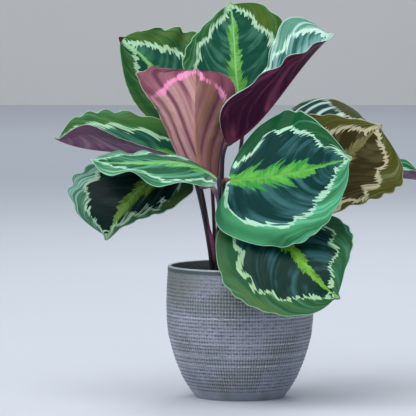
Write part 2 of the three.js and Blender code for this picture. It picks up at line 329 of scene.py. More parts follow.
def value_noise(x: Array, y: Array, seed: int, wrap: int = 0) -> Array:
    """Smooth random heights on a unit lattice.

    Random numbers sit at whole x and y, and between them the height follows a smooth step.

    Args:
        x: First coordinate.
        y: Second coordinate.
        seed: Which random numbers.
        wrap: Whole number after which x repeats, or 0.

    Returns:
        Heights from -1 to 1.
    """
    table = np.random.default_rng(seed).uniform(-1, 1, (wrap or NOISE_LATTICE, NOISE_LATTICE))
    i, j = np.floor(x).astype(int), np.floor(y).astype(int)
    p, q = step(x - i, 0, 1), step(y - j, 0, 1)
    rows, cols = table.shape

    def corner(next_x: int, next_y: int) -> Array:
        """Heights at one corner of each point's cell."""
        return table[(i + next_x) % rows, (j + next_y) % cols]

    near = corner(0, 0) * (1 - p) + corner(1, 0) * p
    far = corner(0, 1) * (1 - p) + corner(1, 1) * p
    return near * (1 - q) + far * q


def grid_quads(rows: int, cols: int, wrap: bool) -> Array:
    """Corner numbers of the cells of a grid of points.

    Args:
        rows: Points along the first direction.
        cols: Points along the second.
        wrap: Whether the last column joins the first.

    Returns:
        One row of four corners for each cell.
    """
    i, j = np.meshgrid(np.arange(rows - 1), np.arange(cols if wrap else cols - 1), indexing="ij")
    k = (j + 1) % cols
    cells = np.stack([i * cols + j, i * cols + k, (i + 1) * cols + k, (i + 1) * cols + j], -1)
    return cells.reshape(-1, 4)


def end_caps(rows: int, ring: int) -> list[Sequence[int]]:
    """Corner numbers of the two faces that close a tube of so many rings of points."""
    return [range(ring - 1, -1, -1), range((rows - 1) * ring, rows * ring)]


def enclosed(points: Array, quads: Array) -> float:
    """Volume that the faces enclose, negative when they point inwards."""
    a, b, c, d = (points[quads[:, k]] for k in range(4))
    halves = (a * np.cross(b, c)).sum(-1) + (a * np.cross(c, d)).sum(-1)
    return float(halves.sum() / 6)


@dataclass
class Surface:
    """A mesh in the making: points in millimetres, faces, and what the points carry."""

    points: Array
    quads: Array
    caps: list[Sequence[int]] = field(default_factory=list)
    uv: Array | None = None
    values: dict[str, Array] = field(default_factory=dict)
    slots: Array | None = None
    closed: bool = False  # the second coordinate of the UV map runs round and meets itself

    def outward(self) -> Surface:
        """Turns faces and caps round where they enclose a negative volume."""
        if enclosed(self.points, self.quads) < 0:
            self.quads = self.quads[:, ::-1]
            self.caps = [cap[::-1] for cap in self.caps]
        return self

    def piece(self, name: str, materials: Sequence[bpy.types.Material]) -> bpy.types.Object:
        """Makes the Blender object.

        Args:
            name: Name of the piece.
            materials: Its material slots in order.

        Returns:
            The object, at the origin, smooth-shaded.
        """
        mesh = bpy.data.meshes.new(name)
        faces = [*self.quads.tolist(), *(list(map(int, cap)) for cap in self.caps)]
        mesh.from_pydata((self.points * MM).tolist(), [], faces)
        mesh.polygons.foreach_set("use_smooth", np.ones(len(faces), bool))
        for material in materials:
            mesh.materials.append(material)
        if self.slots is not None:
            mesh.polygons.foreach_set("material_index", self.slots.astype(np.int32))
        if self.uv is not None:
            corner = np.zeros(len(mesh.loops), np.int32)
            mesh.loops.foreach_get("vertex_index", corner)
            uv = self.uv[corner]
            if self.closed:
                owner = np.repeat(np.arange(len(faces)), [len(face) for face in faces])
                highest = np.full(len(faces), -1.0)
                np.maximum.at(highest, owner, uv[:, 1])
                uv[:, 1] += highest[owner] - uv[:, 1] > 0.5
            mesh.uv_layers.new(name=UV_NAME).uv.foreach_set("vector", uv.astype(np.float32).ravel())
        for key, numbers in self.values.items():
            layer = mesh.attributes.new(key, "FLOAT", "POINT")
            layer.data.foreach_set("value", numbers.astype(np.float32).ravel())
        mesh.update()
        piece = bpy.data.objects.new(name, mesh)
        bpy.context.scene.collection.objects.link(piece)
        return piece


def hand_in(piece: bpy.types.Object, slot: str, *nodes: str) -> None:
    """Lets a finished piece ride in the frame in place of its solids, and reports it.

    Args:
        piece: The finished object.
        slot: Not used.
        nodes: Solids that it stands for.
    """
    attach(piece, BODY)
    if nodes:
        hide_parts(*nodes)
    log.info("%s: %d faces", piece.name, len(piece.data.polygons))


# ---- leaves: sizes, mm -----------------------------------------------------------------------

BLADE_THICK = 0.9
BLADE_EDGE = 0.5  # thickness at the margin
THIN_FROM = 0.75  # share of the half-width past which the blade thins
BLADE_ROWS = 120
BLADE_COLS = 77  # odd, so that one column is the midrib
ROW_POWER = 2.2  # rows of the blade lie closer at its base by this power
TIP_POWER = 1.6  # and closer at its tip by this one
COLUMN_POWER = 1.35  # columns lie closer beside the midrib by this one
RIM_BULGE = 0.12  # how far the rounded margin stands out past the faces
MIDRIB_HEIGHT = 1.7
MIDRIB_HALF = 1.6
MIDRIB_FADE = 1.3  # power by which the ridge sinks to the tip
GUTTER_DEPTH = 0.35  # shallow channel over the midrib on the upper face
GUTTER_HALF = 1.1
GUTTER_FROM = 0.03  # shares of the length where it is fully open and where it starts to close
GUTTER_TO = 0.94
QUILT_RISE = 0.35  # the blade swells between its main side veins
QUILT_COUNT = 9
QUILT_FROM = 0.05  # shares of the half-width between which the swelling sets in
QUILT_TO = 0.4
RIPPLE_RISE = 0.5  # uneven rise and fall of the faces
HINGE_HALF = 3.0  # the faces of the two halves run together this near the midrib
BODY_END = 0.965  # share of the length at which the five widths end in the drip tip
STUB_HALF = 2.0  # half-width of the stub at the base
STUB_END = 0.1
EDGE_HALF = 0.7  # least half-width
DRIP_HALF = 4.0  # half-width at the root of the drip tip
DRIP_POWER = 0.75
DRIP_FROM = 0.8
DRIP_TO = 0.96
SWEEP_RISE = 0.4  # powers of the side veins' lean: from the base, to the tip, along the vein
SWEEP_FALL = 1.5
SWEEP_BEND = 1.4
LOBE_REACH = 0.16  # share of the length over which the margin reaches back past the base
LOBE_POWER = 1.4  # and the power by which it does so more at the margin
SHOULDER_REACH = 0.2  # share of the length over which it reaches forward beside the tip
DENTS_START = 0.02  # shares of the length between which the dents set in, and where they end
DENTS_FROM = 0.15
DENTS_TO = 0.93
DENT_MOST = 0.12  # deepest dent, a share of the half-width
NICK_REACH = 0.13  # how far from the tip the nicks of its margin reach, a share of the length
NICKED_LENGTH = 128.0  # midrib of the leaf with the nicked margin
WAVE_POWER = 2.2  # waves grow to the margin by this power
CALM_POWER = 0.6  # and die away at base and tip by this one
LEAST_CURL = 1e-4  # radians; a half that is straighter is bent by this
ARC_MIDDLE = 0.6  # about the mean of |sin|, so that arcs rise and dip evenly
PLEATS_FROM = 0.4  # share of the half-width past which the pleats are full
PLEAT_SHIFT = 0.2  # place of the first groove between pleats
VEIN_LEAN = 0.7  # how far the pattern's fine veins lean to the tip
VEIN_LEAN_FULL = 0.5  # share of the length from which they lean in full
VEIN_BEND = 2.2
CURVE_SAMPLES = 600

PETIOLE_RADIUS = 1.9
PETIOLE_RINGS = 110
PETIOLE_SIDES = 36
PETIOLE_SMOOTH = 7.0  # corners of the path are rounded over this length
PATH_SAMPLES = 200
FOOT_RISE = 6.0  # the bow starts this far above the soil
FOOT_PULL = (0.2, 0.2, 0.36)  # share of the way to the knee by which the foot draws the bow
KNEE_RUN = 5.0  # the knee stands this far before the blade and behind it
KNEE_BACK = 3.0
KNEE_PULL = 0.85  # shares of the bow by which the knee draws it, along and behind the midrib
KNEE_DIP = 0.5
NECK_RUN = 1.5
NECK_GAP = 0.6
PULVINUS_LENGTH = 16.0  # the swollen joint under the blade
PULVINUS_SWELL = 0.35
SOIL_TOP = 124.0
SOIL_CROWN = 1.5
SOIL_BROW = 36.0  # radius of the crown's nearly level middle
HOLE_DEPTH = 13.0
FIT_GAP = 0.3


def by_half(left: Array, pair: Sequence[Any]) -> Array:
    """The first of a pair on the left half of a blade, the second on its right half."""
    return np.where(left, pair[0], pair[1])


def calm_ends(u: Array) -> Array:
    """Share of a blade's waves that its ends leave: sin(pi u)^0.6."""
    return np.sin(math.pi * np.clip(u, 0, 1)) ** CALM_POWER


@dataclass(frozen=True)
class LeafShape:
    """Form of one leaf, in the same terms as the solid model.

    rib holds four points of the midrib a third of the way apart, face which way the upper side
    looks at base, middle and tip. left and right are half-widths from base to tip. lobe and
    shoulder reach back past the base and forward beside the tip, and droop takes the shoulder's
    corner back. fold and curl are the degrees by which each half is raised and bent. wave and cut
    are height, count and phase of the margin's waves and dents. foot is where the petiole stands
    and arch how long its end follows the midrib. sweep leans the side veins to the tip, pleat is
    height and count of the pleats, tilt how much more than the side veins they lean, and blunt
    how round the two ends are, from 0.5 for an oval to 0 for a square end. Two belong to the
    right half alone and are finer than the solid: nicks are distance from the midrib, reach and
    depth in millimetres of each nick beside the tip, negative for a tooth, and corner is place
    and reach in shares of the length, and height in millimetres, of a corner of the margin.
    """

    rib: tuple[Triple, Triple, Triple, Triple]
    face: tuple[Triple, Triple, Triple]
    left: Five
    right: Five
    foot: Pair
    arch: float
    lobe: Pair = (0.2, 0.2)
    shoulder: Pair = (0.0, 0.0)
    droop: Pair = (0.0, 0.0)
    fold: tuple[Triple, Triple] = ((0, 0, 0), (0, 0, 0))
    curl: tuple[Triple, Triple] = ((0, 0, 0), (0, 0, 0))
    wave: tuple[Triple, Triple] = ((0, 4, 0), (0, 4, 0))
    cut: tuple[Triple, Triple] = ((0, 4, 0), (0, 4, 0))
    sweep: float = 0.5
    pleat: Pair = (0, 9)
    tilt: float = 0.0
    blunt: float = 0.5
    nicks: tuple[Triple, ...] = ()
    corner: Triple = (0.9, 0.03, 0)

    def midrib(self, share: Array) -> tuple[Array, Array]:
        """Points and directions of the midrib.

        A cubic through the four points, read at equal steps of its own length, and straight on
        past both ends.

        Args:
            share: Shares of the length.

        Returns:
            Points and unit directions.
        """
        p0, p1, p2, p3 = np.array(self.rib, float)
        first = (-5 * p0 + 18 * p1 - 9 * p2 + 2 * p3) / 6
        second = (-5 * p3 + 18 * p2 - 9 * p1 + 2 * p0) / 6
        t = np.linspace(0, 1, CURVE_SAMPLES)[:, None]
        line = cubic((p0, first, second, p3), t)
        ahead = unit(
            (first - p0) * (1 - t) ** 2 + 2 * (second - first) * t * (1 - t) + (p3 - second) * t**2
        )
        run = lengths(line)
        inside = np.clip(share, 0, 1)
        at, looking = (read_rows(table, run, inside * run[-1]) for table in (line, ahead))
        direction = unit(looking)
        return at + direction * ((share - inside) * run[-1])[..., None], direction

    def looks(self, share: Array, ahead: Array) -> Array:
        """Way the upper face looks at the midrib, square to its direction."""
        face = through3(self.face, share)
        return unit(face - (face * ahead).sum(-1, keepdims=True) * ahead)

    def outline(self, share: Array, left: Array) -> Array:
        """Half-width: a round end times five widths, joined to the stub and the drip tip.

        Args:
            share: Shares of the length.
            left: Which of the points are on the left half.

        Returns:
            Half-widths in millimetres.
        """
        x = np.clip(share / BODY_END, 0, 1)
        widths = by_half(left, [blend5(values, x) for values in (self.left, self.right)])
        tipward = np.clip((1 - share) / (1 - BODY_END), 0, 1)
        drip = DRIP_HALF * tipward**DRIP_POWER * step(share, DRIP_FROM, DRIP_TO)
        stub = STUB_HALF * (1 - step(share, 0, STUB_END))
        body = (4 * x * (1 - x)) ** self.blunt * widths
        return np.sqrt(body**2 + drip**2 + stub**2 + EDGE_HALF**2)

    def pleats(self, u: Array, v: Array) -> Array:
        """Arcs |sin| across the pleats, 0 in a groove and 1 on a crest."""
        return np.abs(np.sin(math.pi * self.pleat[1] * (u - self.tilt * np.abs(v) - PLEAT_SHIFT)))

    def spread(self, u: Array, v: Array, vein: Array) -> Array:
        """Signed distance of each point from the midrib, on the blade laid flat.

        |v| times the half-width, less |cos|^3 dents that deepen by |v|^4, plus the corner.

        Args:
            u: Place over the side veins.
            v: Place along them.
            vein: The same place with the veins' lean.

        Returns:
            Distances in millimetres, negative on the left half.
        """
        a, left = np.abs(v), v < 0
        depth, dents, shift = (by_half(left, pair) for pair in zip(*self.cut))
        dent = depth * np.abs(np.cos(math.pi * (dents * u + shift))) ** 3 * a**4
        ends = step(u, DENTS_START, DENTS_FROM) * (1 - step(u, DENTS_TO, 1))
        corner, reach, rise = self.corner
        half = self.outline(vein, left) + ~left * rise * a**3 * bell(u, corner, reach)
        return v * (half - np.minimum(dent * ends, DENT_MOST * half))

    def surface(self, u: Array, v: Array) -> tuple[Array, Array, Array]:
        """Middle surface of the blade.

        Each half leaves the midrib at its fold angle and bends evenly outwards; side veins lean
        to the tip by sweep * u^0.4 * (1 - u / BODY_END)^1.5 * |v|^1.4; the margin is dented and
        waved, and the blade pleated along the veins.

        Args:
            u: 0 to 1 over the side veins from base to tip.
            v: -1 to 1 along them, from the left margin to the right.

        Returns:
            Points, unit normals of the upper face, and distances from the midrib.
        """
        a, left = np.abs(v), v < 0
        fall = np.clip(1 - u / BODY_END, 0, 1)
        vein = u + self.sweep * u**SWEEP_RISE * fall**SWEEP_FALL * a**SWEEP_BEND
        x = self.spread(u, v, vein)
        mid = by_half(left, (np.mean(self.left), np.mean(self.right)))
        out = np.abs(x) / mid
        back = by_half(left, self.lobe) * bell(vein, 0, LOBE_REACH) * out**LOBE_POWER
        forth = by_half(left, self.shoulder) * out - by_half(left, self.droop) * out**3
        place = vein - back + forth * bell(vein, 1, SHOULDER_REACH)
        near_tip = bell(vein, 1, NICK_REACH) * ~left
        for nick, reach, deep in self.nicks:
            place = place - near_tip * deep * bell(x, nick, reach) / NICKED_LENGTH
        share = np.clip(place, 0, 1)
        at, ahead = self.midrib(place)
        up = self.looks(share, ahead)
        across = np.cross(ahead, up)
        fold = np.radians(by_half(left, [through3(degrees, share) for degrees in self.fold]))
        bend = np.radians(by_half(left, [through3(degrees, share) for degrees in self.curl]))
        curl = np.where(np.abs(bend) < LEAST_CURL, LEAST_CURL, bend)
        turn = fold + curl * out
        sign = by_half(left, (-1.0, 1.0))
        aside = sign * (mid / curl) * (np.sin(turn) - np.sin(fold))
        rise = (mid / curl) * (np.cos(fold) - np.cos(turn))
        tipped = turn * step(np.abs(x), 0, HINGE_HALF)
        normal = up * np.cos(tipped)[..., None] - across * (sign * np.sin(tipped))[..., None]
        height, count, phase = (by_half(left, pair) for pair in zip(*self.wave))
        wave = height * a**WAVE_POWER * np.sin(2 * math.pi * (count * u + phase))
        pleat = self.pleat[0] * np.clip(a / PLEATS_FROM, 0, 1) * (self.pleats(u, v) - ARC_MIDDLE)
        at = at + across * aside[..., None] + up * rise[..., None]
        return at + normal * ((wave + pleat) * calm_ends(u))[..., None], normal, x

    def vein_root(self, u: Array, v: Array) -> Array:
        """Where on the midrib the fine vein through a point starts, for the pattern.

        Fine veins leave the midrib squarely and then bend to the tip, by u - 0.7 step(u) |v|^2.2;
        in a pleated blade they run with its pleats, by u - tilt |v|.

        Args:
            u: Place over the side veins.
            v: Place along them.

        Returns:
            Place along the midrib, which may be negative.
        """
        if self.tilt:
            return u - self.tilt * np.abs(v)
        return u - VEIN_LEAN * step(u, 0, VEIN_LEAN_FULL) * np.abs(v) ** VEIN_BEND

    def petiole_path(self) -> Array:
        """Centre line of the petiole: upright in its hole, a bow to the knee, on to the blade.

        Returns:
            Points in millimetres at equal steps, corners rounded.
        """
        base, ahead = (array[0] for array in self.midrib(np.zeros(1)))
        looks = self.looks(np.zeros(1), ahead[None])[0]
        foot = np.array([*self.foot, SOIL_TOP + SOIL_CROWN + FOOT_RISE])
        bottom = np.array([*self.foot, SOIL_TOP - HOLE_DEPTH + FIT_GAP])
        knee = base - KNEE_RUN * ahead - KNEE_BACK * looks
        bow = self.arch * np.linalg.norm(knee - foot)
        first = foot + (knee - foot) * FOOT_PULL
        second = knee - KNEE_PULL * bow * ahead - KNEE_DIP * bow * looks
        end = base - NECK_GAP * ahead
        curve = cubic((foot, first, second, knee), np.linspace(0, 1, PATH_SAMPLES)[:, None])
        path = np.vstack([bottom, curve, end - NECK_RUN * ahead, end])
        run = lengths(path)
        line = read_rows(path, run, np.linspace(0, run[-1], CURVE_SAMPLES))
        reach = max(1, int(PETIOLE_SMOOTH / run[-1] * CURVE_SAMPLES / 2))
        ramp = np.minimum(np.arange(CURVE_SAMPLES), np.arange(CURVE_SAMPLES)[::-1]).clip(0, reach)
        total = np.vstack([np.zeros(3), np.cumsum(line, axis=0)])
        here = np.arange(CURVE_SAMPLES)
        window = total[here + ramp + 1] - total[here - ramp]
        return window / (2 * ramp + 1)[:, None]


LEAVES: dict[str, LeafShape] = {
    "front_right": LeafShape(
        rib=((-12, -50, 220), (28, -66, 224), (68, -82, 233), (108, -94, 244)),
        face=((-0.1, -1, 0.35), (0, -1, 0.32), (0.2, -1, 0.2)),
        left=(58, 68, 66, 76, 36),
        right=(78, 78, 70, 68, 48),
        lobe=(0, 0.36),
        curl=((-10, -15, -10), (-5, -10, -5)),
        wave=((2, 4, 0), (2, 4, 0.3)),
        cut=((1, 6, 0.4), (1.5, 7, 0)),
        foot=(-17, -11),
        arch=0.05,
    ),
    "hanging_right": LeafShape(
        rib=((21, -42, 188), (46, -72, 158), (70, -98, 130), (96, -110, 108)),
        face=((0, -1, 0.7), (0, -1, 0.45), (0.1, -1, 0.3)),
        left=(45, 56, 58, 74, 34),
        right=(80, 80, 74, 72, 62),
        lobe=(0.2, 0.35),
        cut=((1.5, 7, 0), (1.5, 7, 0)),
        foot=(-10.5, -15),
        arch=0.08,
    ),
    "bronze_right": LeafShape(
        rib=((53, -12, 190), (83, -6, 219), (114, 0, 248), (142, 6, 272)),
        face=((0.1, -1, 0.1), (0.1, -1, 0.1), (0.1, -1, 0.1)),
        left=(60, 62, 76, 58, 22),
        right=(34, 38, 44, 56, 106),
        cut=((3, 5, 0.1), (3, 6, 0)),
        foot=(-12.5, -5),
        arch=0.12,
    ),
    "back_right": LeafShape(
        rib=((26, 20, 246), (63, 34, 263), (95, 44, 274), (128, 48, 274)),
        face=((-0.3, -0.6, 0.8), (0, -0.6, 0.8), (0.3, -0.6, 0.8)),
        left=(10, 20, 50, 52, 24),
        right=(40, 46, 48, 44, 20),
        cut=((1, 6, 0), (1, 6, 0)),
        foot=(-12, 4),
        arch=0.1,
    ),
    "far_right": LeafShape(
        rib=((91, 40, 210), (127, 50, 215), (163, 56, 216), (192, 60, 210)),
        face=((0, -0.1, 1), (0, -0.1, 1), (0, -0.1, 1)),
        left=(30, 40, 42, 40, 20),
        right=(30, 40, 42, 44, 30),
        fold=((30, 36, 38), (20, 22, 24)),
        wave=((1.5, 3, 0), (1.5, 3, 0)),
        cut=((1, 6, 0), (1, 6, 0)),
        foot=(-6.5, -1),
        arch=0.2,
    ),
    "top": LeafShape(
        rib=((1, 18, 292), (-4, 26, 324), (-6, 36, 358), (-10, 46, 394)),
        face=((0, -1, 0.3), (0, -1, 0.2), (0, -1, 0.4)),
        left=(54, 58, 56, 46, 26),
        right=(50, 56, 60, 64, 58),
        shoulder=(0, 0.1),
        cut=((1.5, 6, 0), (3, 6, 0.2)),
        foot=(-18, 5),
        arch=0.2,
    ),
    "top_left": LeafShape(
        rib=((-43, 36, 268), (-68, 44, 303), (-94, 52, 334), (-122, 58, 358)),
        face=((-0.2, -1, 0.3), (-0.1, -1, 0.3), (0, -1, 0.4)),
        left=(44, 46, 46, 40, 24),
        right=(40, 60, 70, 64, 32),
        fold=((-35, -35, -25), (0, 0, 0)),
        wave=((0, 4, 0), (3, 5, 0)),
        cut=((0, 4, 0), (5, 7, 0)),
        foot=(-24, 10),
        arch=0.2,
    ),
    "upright": LeafShape(
        rib=((-28, -25, 212), (-42, -28, 246), (-45, -20, 286), (-44, 5, 328)),
        face=((0, 1, 0.1), (0, 1, 0.3), (0, 0.7, 0.7)),
        left=(28, 44, 50, 48, 64),
        right=(20, 36, 54, 8, 112),
        lobe=(0, 0),
        shoulder=(0.1, 0.06),
        droop=(0.1, 0.01),
        curl=((130, 76, 15), (172, 88, 8)),
        cut=((1, 3, 0.7), (1, 3, 0.2)),
        foot=(-24, -3),
        arch=0.2,
        sweep=0.8,
        pleat=(-2, 2.6),
        tilt=1.0,
        blunt=0.3,
        nicks=((29, 8, 5.5), (43, 3.5, -1.2), (51, 4, 2.4), (61, 3.5, -2.0)),
        corner=(0.892, 0.022, 3.4),
    ),
    "rising_right": LeafShape(
        rib=((-13, -30, 254), (24, -30, 284), (56, -24, 324), (93, -12, 363)),
        face=((-0.7, 0.1, 0.7), (-0.7, 0.1, 0.7), (-0.7, -0.3, 0.7)),
        left=(36, 34, 26, 20, 100),
        right=(84, 34, 32, 36, 20),
        lobe=(0, 0),
        fold=((50, 58, 66), (45, 42, 10)),
        wave=((3, 4, 0), (3, 4, 0)),
        foot=(-17.5, -3),
        arch=0.05,
    ),
    "upper_left": LeafShape(
        rib=((-50, 24, 233), (-98, 14, 243), (-144, 4, 247), (-185, -6, 259)),
        face=((0, -0.1, 1), (0, -0.1, 1), (0, -0.1, 1)),
        left=(4, 14, 22, 36, 110),
        right=(46, 50, 44, 50, 64),
        fold=((24, 30, 34), (52, 52, 44)),
        cut=((0, 4, 0), (4, 5, 0.1)),
        foot=(-27, 2),
        arch=0.12,
    ),
    "middle_left": LeafShape(
        rib=((-23, -52, 222), (-63, -62, 237), (-106, -66, 237), (-148, -66, 241)),
        face=((0, -0.05, 1), (0, -0.05, 1), (0, -0.05, 1)),
        left=(56, 56, 48, 44, 50),
        right=(26, 34, 40, 44, 70),
        lobe=(0, 0),
        fold=((-26, -16, -6), (6, 8, 10)),
        wave=((6, 2, 0.05), (2, 3, 0)),
        foot=(-23, -12),
        arch=0.05,
    ),
    "drooping_left": LeafShape(
        rib=((-52, -36, 226), (-89, -46, 218), (-115, -54, 193), (-133, -56, 161)),
        face=((0.1, -0.8, 0.6), (0, -1, 0.4), (-0.2, -1, 0.2)),
        left=(40, 44, 36, 20, 8),
        right=(12, 30, 66, 76, 84),
        fold=((0, 0, 0), (-45, -22, 0)),
        cut=((1.5, 5, 0), (5, 6, 0)),
        foot=(-28, -8),
        arch=0.06,
    ),
}


# ---- leaves: the pattern and its colours -----------------------------------------------------


@dataclass(frozen=True)
class FaceColours:
    """Linear colours of an upper face, from the margin inwards."""

    margin: Colour
    # lighter margin colour: painted light where the margin faces the light
    sunny: Colour
    band: Colour
    dark: Colour
    # pale stripes of the heart: painted sheen along its veins
    sheen_stripe: Colour
    feather: Colour
    bright: Colour
    rib: Colour
    olive: Colour
    sheen: Colour  # painted sheen where the margin catches the light
    sheen_stripe_share: float = 0.25  # how much of the heart the painted sheen stripes take
    lines: float = 0.0  # painted highlights: pale lines that part the heart between its veins, instead of sheen stripes
    gloss: float = 0.36  # roughness


class Face(Enum):
    """The upper faces of this plant."""

    FRESH = FaceColours(
        margin=(0.008, 0.085, 0.030),
        sunny=(0.075, 0.36, 0.16),
        band=(0.44, 0.74, 0.54),
        dark=(0.001, 0.034, 0.032),
        sheen_stripe=(0.036, 0.128, 0.13),
        feather=(0.034, 0.26, 0.042),
        bright=(0.12, 0.44, 0.07),
        rib=(0.14, 0.36, 0.055),
        olive=(0.07, 0.15, 0.025),
        sheen=(0.15, 0.52, 0.33),
        sheen_stripe_share=0.36,
    )
    # darker copy of the fresh face, for the leaf that hangs under the front one: painted shade
    SHADED = FaceColours(
        margin=(0.012, 0.085, 0.030),
        sunny=(0.045, 0.19, 0.10),
        band=(0.36, 0.60, 0.34),
        dark=(0.001, 0.024, 0.017),
        sheen_stripe=(0.024, 0.098, 0.105),
        feather=(0.075, 0.23, 0.012),
        bright=(0.15, 0.42, 0.05),
        rib=(0.16, 0.34, 0.05),
        olive=(0.07, 0.13, 0.02),
        sheen=(0.06, 0.25, 0.19),
    )
    # darker still, for the low leaf in the shade of the one above: painted shade, with painted sheen on
    # its margin
    DEEP_SHADE = FaceColours(
        margin=(0.014, 0.075, 0.034),
        sunny=(0.07, 0.19, 0.13),
        band=(0.30, 0.48, 0.33),
        dark=(0.002, 0.012, 0.010),
        sheen_stripe=(0.012, 0.034, 0.034),
        feather=(0.055, 0.115, 0.014),
        bright=(0.12, 0.24, 0.05),
        rib=(0.12, 0.26, 0.05),
        olive=(0.05, 0.08, 0.018),
        sheen=(0.22, 0.42, 0.36),
        sheen_stripe_share=0.05,
    )
    CANOPY = FaceColours(
        margin=(0.014, 0.09, 0.026),
        sunny=(0.05, 0.18, 0.055),
        band=(0.41, 0.66, 0.43),
        dark=(0.007, 0.070, 0.042),
        sheen_stripe=(0.05, 0.175, 0.12),
        feather=(0.075, 0.29, 0.045),
        bright=(0.18, 0.48, 0.12),
        rib=(0.3, 0.58, 0.2),
        olive=(0.07, 0.13, 0.018),
        sheen=(0.09, 0.26, 0.14),
    )
    # upturned leaf: its own greens, partly lightened as painted sheen from the light above it
    GLOSSY = FaceColours(
        margin=(0.024, 0.16, 0.07),
        sunny=(0.12, 0.38, 0.22),
        band=(0.42, 0.70, 0.52),
        dark=(0.014, 0.10, 0.05),
        sheen_stripe=(0.10, 0.34, 0.20),
        feather=(0.08, 0.34, 0.09),
        bright=(0.2, 0.50, 0.2),
        rib=(0.2, 0.45, 0.12),
        olive=(0.08, 0.16, 0.04),
        sheen=(0.26, 0.60, 0.44),
        gloss=0.3,
    )
    # face of the rising leaf, lightened and blued throughout: painted reflection of the sky over its
    # greens
    SKY_SHEEN = FaceColours(
        margin=(0.035, 0.19, 0.12),
        sunny=(0.16, 0.40, 0.30),
        band=(0.60, 0.82, 0.72),
        dark=(0.015, 0.12, 0.09),
        sheen_stripe=(0.25, 0.46, 0.46),
        feather=(0.08, 0.30, 0.11),
        bright=(0.2, 0.46, 0.22),
        rib=(0.25, 0.5, 0.3),
        olive=(0.08, 0.16, 0.04),
        sheen=(0.55, 0.75, 0.73),
        sheen_stripe_share=0.4,
        gloss=0.3,
    )
    BRONZE = FaceColours(
        margin=(0.085, 0.088, 0.014),
        sunny=(0.16, 0.145, 0.03),
        band=(0.66, 0.60, 0.38),
        dark=(0.046, 0.036, 0.010),
        sheen_stripe=(0.10, 0.090, 0.034),
        feather=(0.15, 0.135, 0.045),
        bright=(0.25, 0.235, 0.10),
        rib=(0.20, 0.19, 0.07),
        olive=(0.04, 0.12, 0.024),
        sheen=(0.24, 0.27, 0.13),
        gloss=0.42,
    )
    # leaf far behind: its very pale stripe colour paints highlights along the veins of its heart
    STRIPED = FaceColours(
        margin=(0.05, 0.075, 0.02),
        sunny=(0.10, 0.16, 0.05),
        band=(0.42, 0.55, 0.42),
        dark=(0.008, 0.055, 0.045),
        sheen_stripe=(0.55, 0.74, 0.70),
        feather=(0.06, 0.16, 0.05),
        bright=(0.16, 0.36, 0.14),
        rib=(0.12, 0.2, 0.06),
        olive=(0.055, 0.062, 0.02),
        sheen=(0.2, 0.35, 0.28),
        lines=4.0,
    )


@dataclass(frozen=True)
class ReverseColours:
    """Linear colours of an underside."""

    plain: Colour
    # pale stripes along the blade: partly the underside's own colour, partly painted highlight on its
    # ridges
    light: Colour
    # painted shade in the valleys between the pleats
    groove: Colour
    band: Colour
    rib: Colour
    margin: Colour
    olive: Colour
    # pale line along the margin: partly its own colour, partly painted edge highlight
    edge: Colour = (0.5, 0.55, 0.48)
    folds: float = 7.0  # count of the pale stripes along the blade
    clear: float = 1.0  # how strongly the pale band shines through
    rib_end: float = 1.6  # where the midrib's own colour has faded out


class Reverse(Enum):
    """The undersides of this plant."""

    WINE = ReverseColours(
        plain=(0.042, 0.006, 0.028),
        light=(0.21, 0.045, 0.092),
        groove=(0.012, 0.002, 0.016),
        band=(0.22, 0.05, 0.10),
        rib=(0.12, 0.025, 0.045),
        margin=(0.05, 0.01, 0.035),
        olive=(0.03, 0.03, 0.008),
        clear=0.5,
    )
    VIOLET = ReverseColours(
        plain=(0.12, 0.045, 0.11),
        light=(0.30, 0.155, 0.22),
        groove=(0.035, 0.016, 0.045),
        band=(0.2, 0.10, 0.16),
        rib=(0.2, 0.08, 0.1),
        margin=(0.12, 0.045, 0.09),
        olive=(0.10, 0.06, 0.06),
        clear=0.4,
    )
    # pink underside of the young upright leaf, brightened with its pink band to stand in for light
    # shining through it: its own colour and painted glow
    BACKLIT_BLUSH = ReverseColours(
        plain=(0.36, 0.165, 0.18),
        light=(0.48, 0.28, 0.27),
        groove=(0.15, 0.045, 0.085),
        band=(0.76, 0.26, 0.48),
        rib=(0.28, 0.14, 0.06),
        margin=(0.24, 0.055, 0.115),
        olive=(0.17, 0.075, 0.05),
        edge=(0.7, 0.55, 0.52),
        rib_end=0.75,
        folds=4.0,
    )


Seven = tuple[float, float, float, float, float, float, float]


@dataclass(frozen=True)
class Markings:
    """Where the pattern of one leaf lies.

    band_left and band_right place the pale band at seven even steps from base to tip, as shares
    of the way from midrib to margin. scallop is depth in millimetres, count and phase of the
    band's arcs, feather the reach in millimetres, count and phase of the clumps of the bright
    feather along the midrib, feather_end where it runs out and narrowing how much of its reach
    is gone by then. olive is how olive the margin is on each side, light how much painted light
    and painted sheen lighten the margin on each side, band_from where the band starts to show,
    and dry whether the tip has dried.
    """

    band_left: Seven
    band_right: Seven
    scallop: Triple = (2.2, 5, 0)
    band_half: float = 1.7
    feather: Triple = (13, 4, 0)
    feather_end: float = 0.8
    narrowing: float = 0.62
    olive: Pair = (0.1, 0.1)
    light: Pair = (0.3, 0.3)
    band_from: float = -0.3
    dry: bool = False

    def band_shown(self, nodes: Nodes) -> Value:
        """1 where the band shows and 0 nearer the base than where it starts."""
        return nodes.attribute("along").step(self.band_from - BAND_FADE, self.band_from + BAND_FADE)


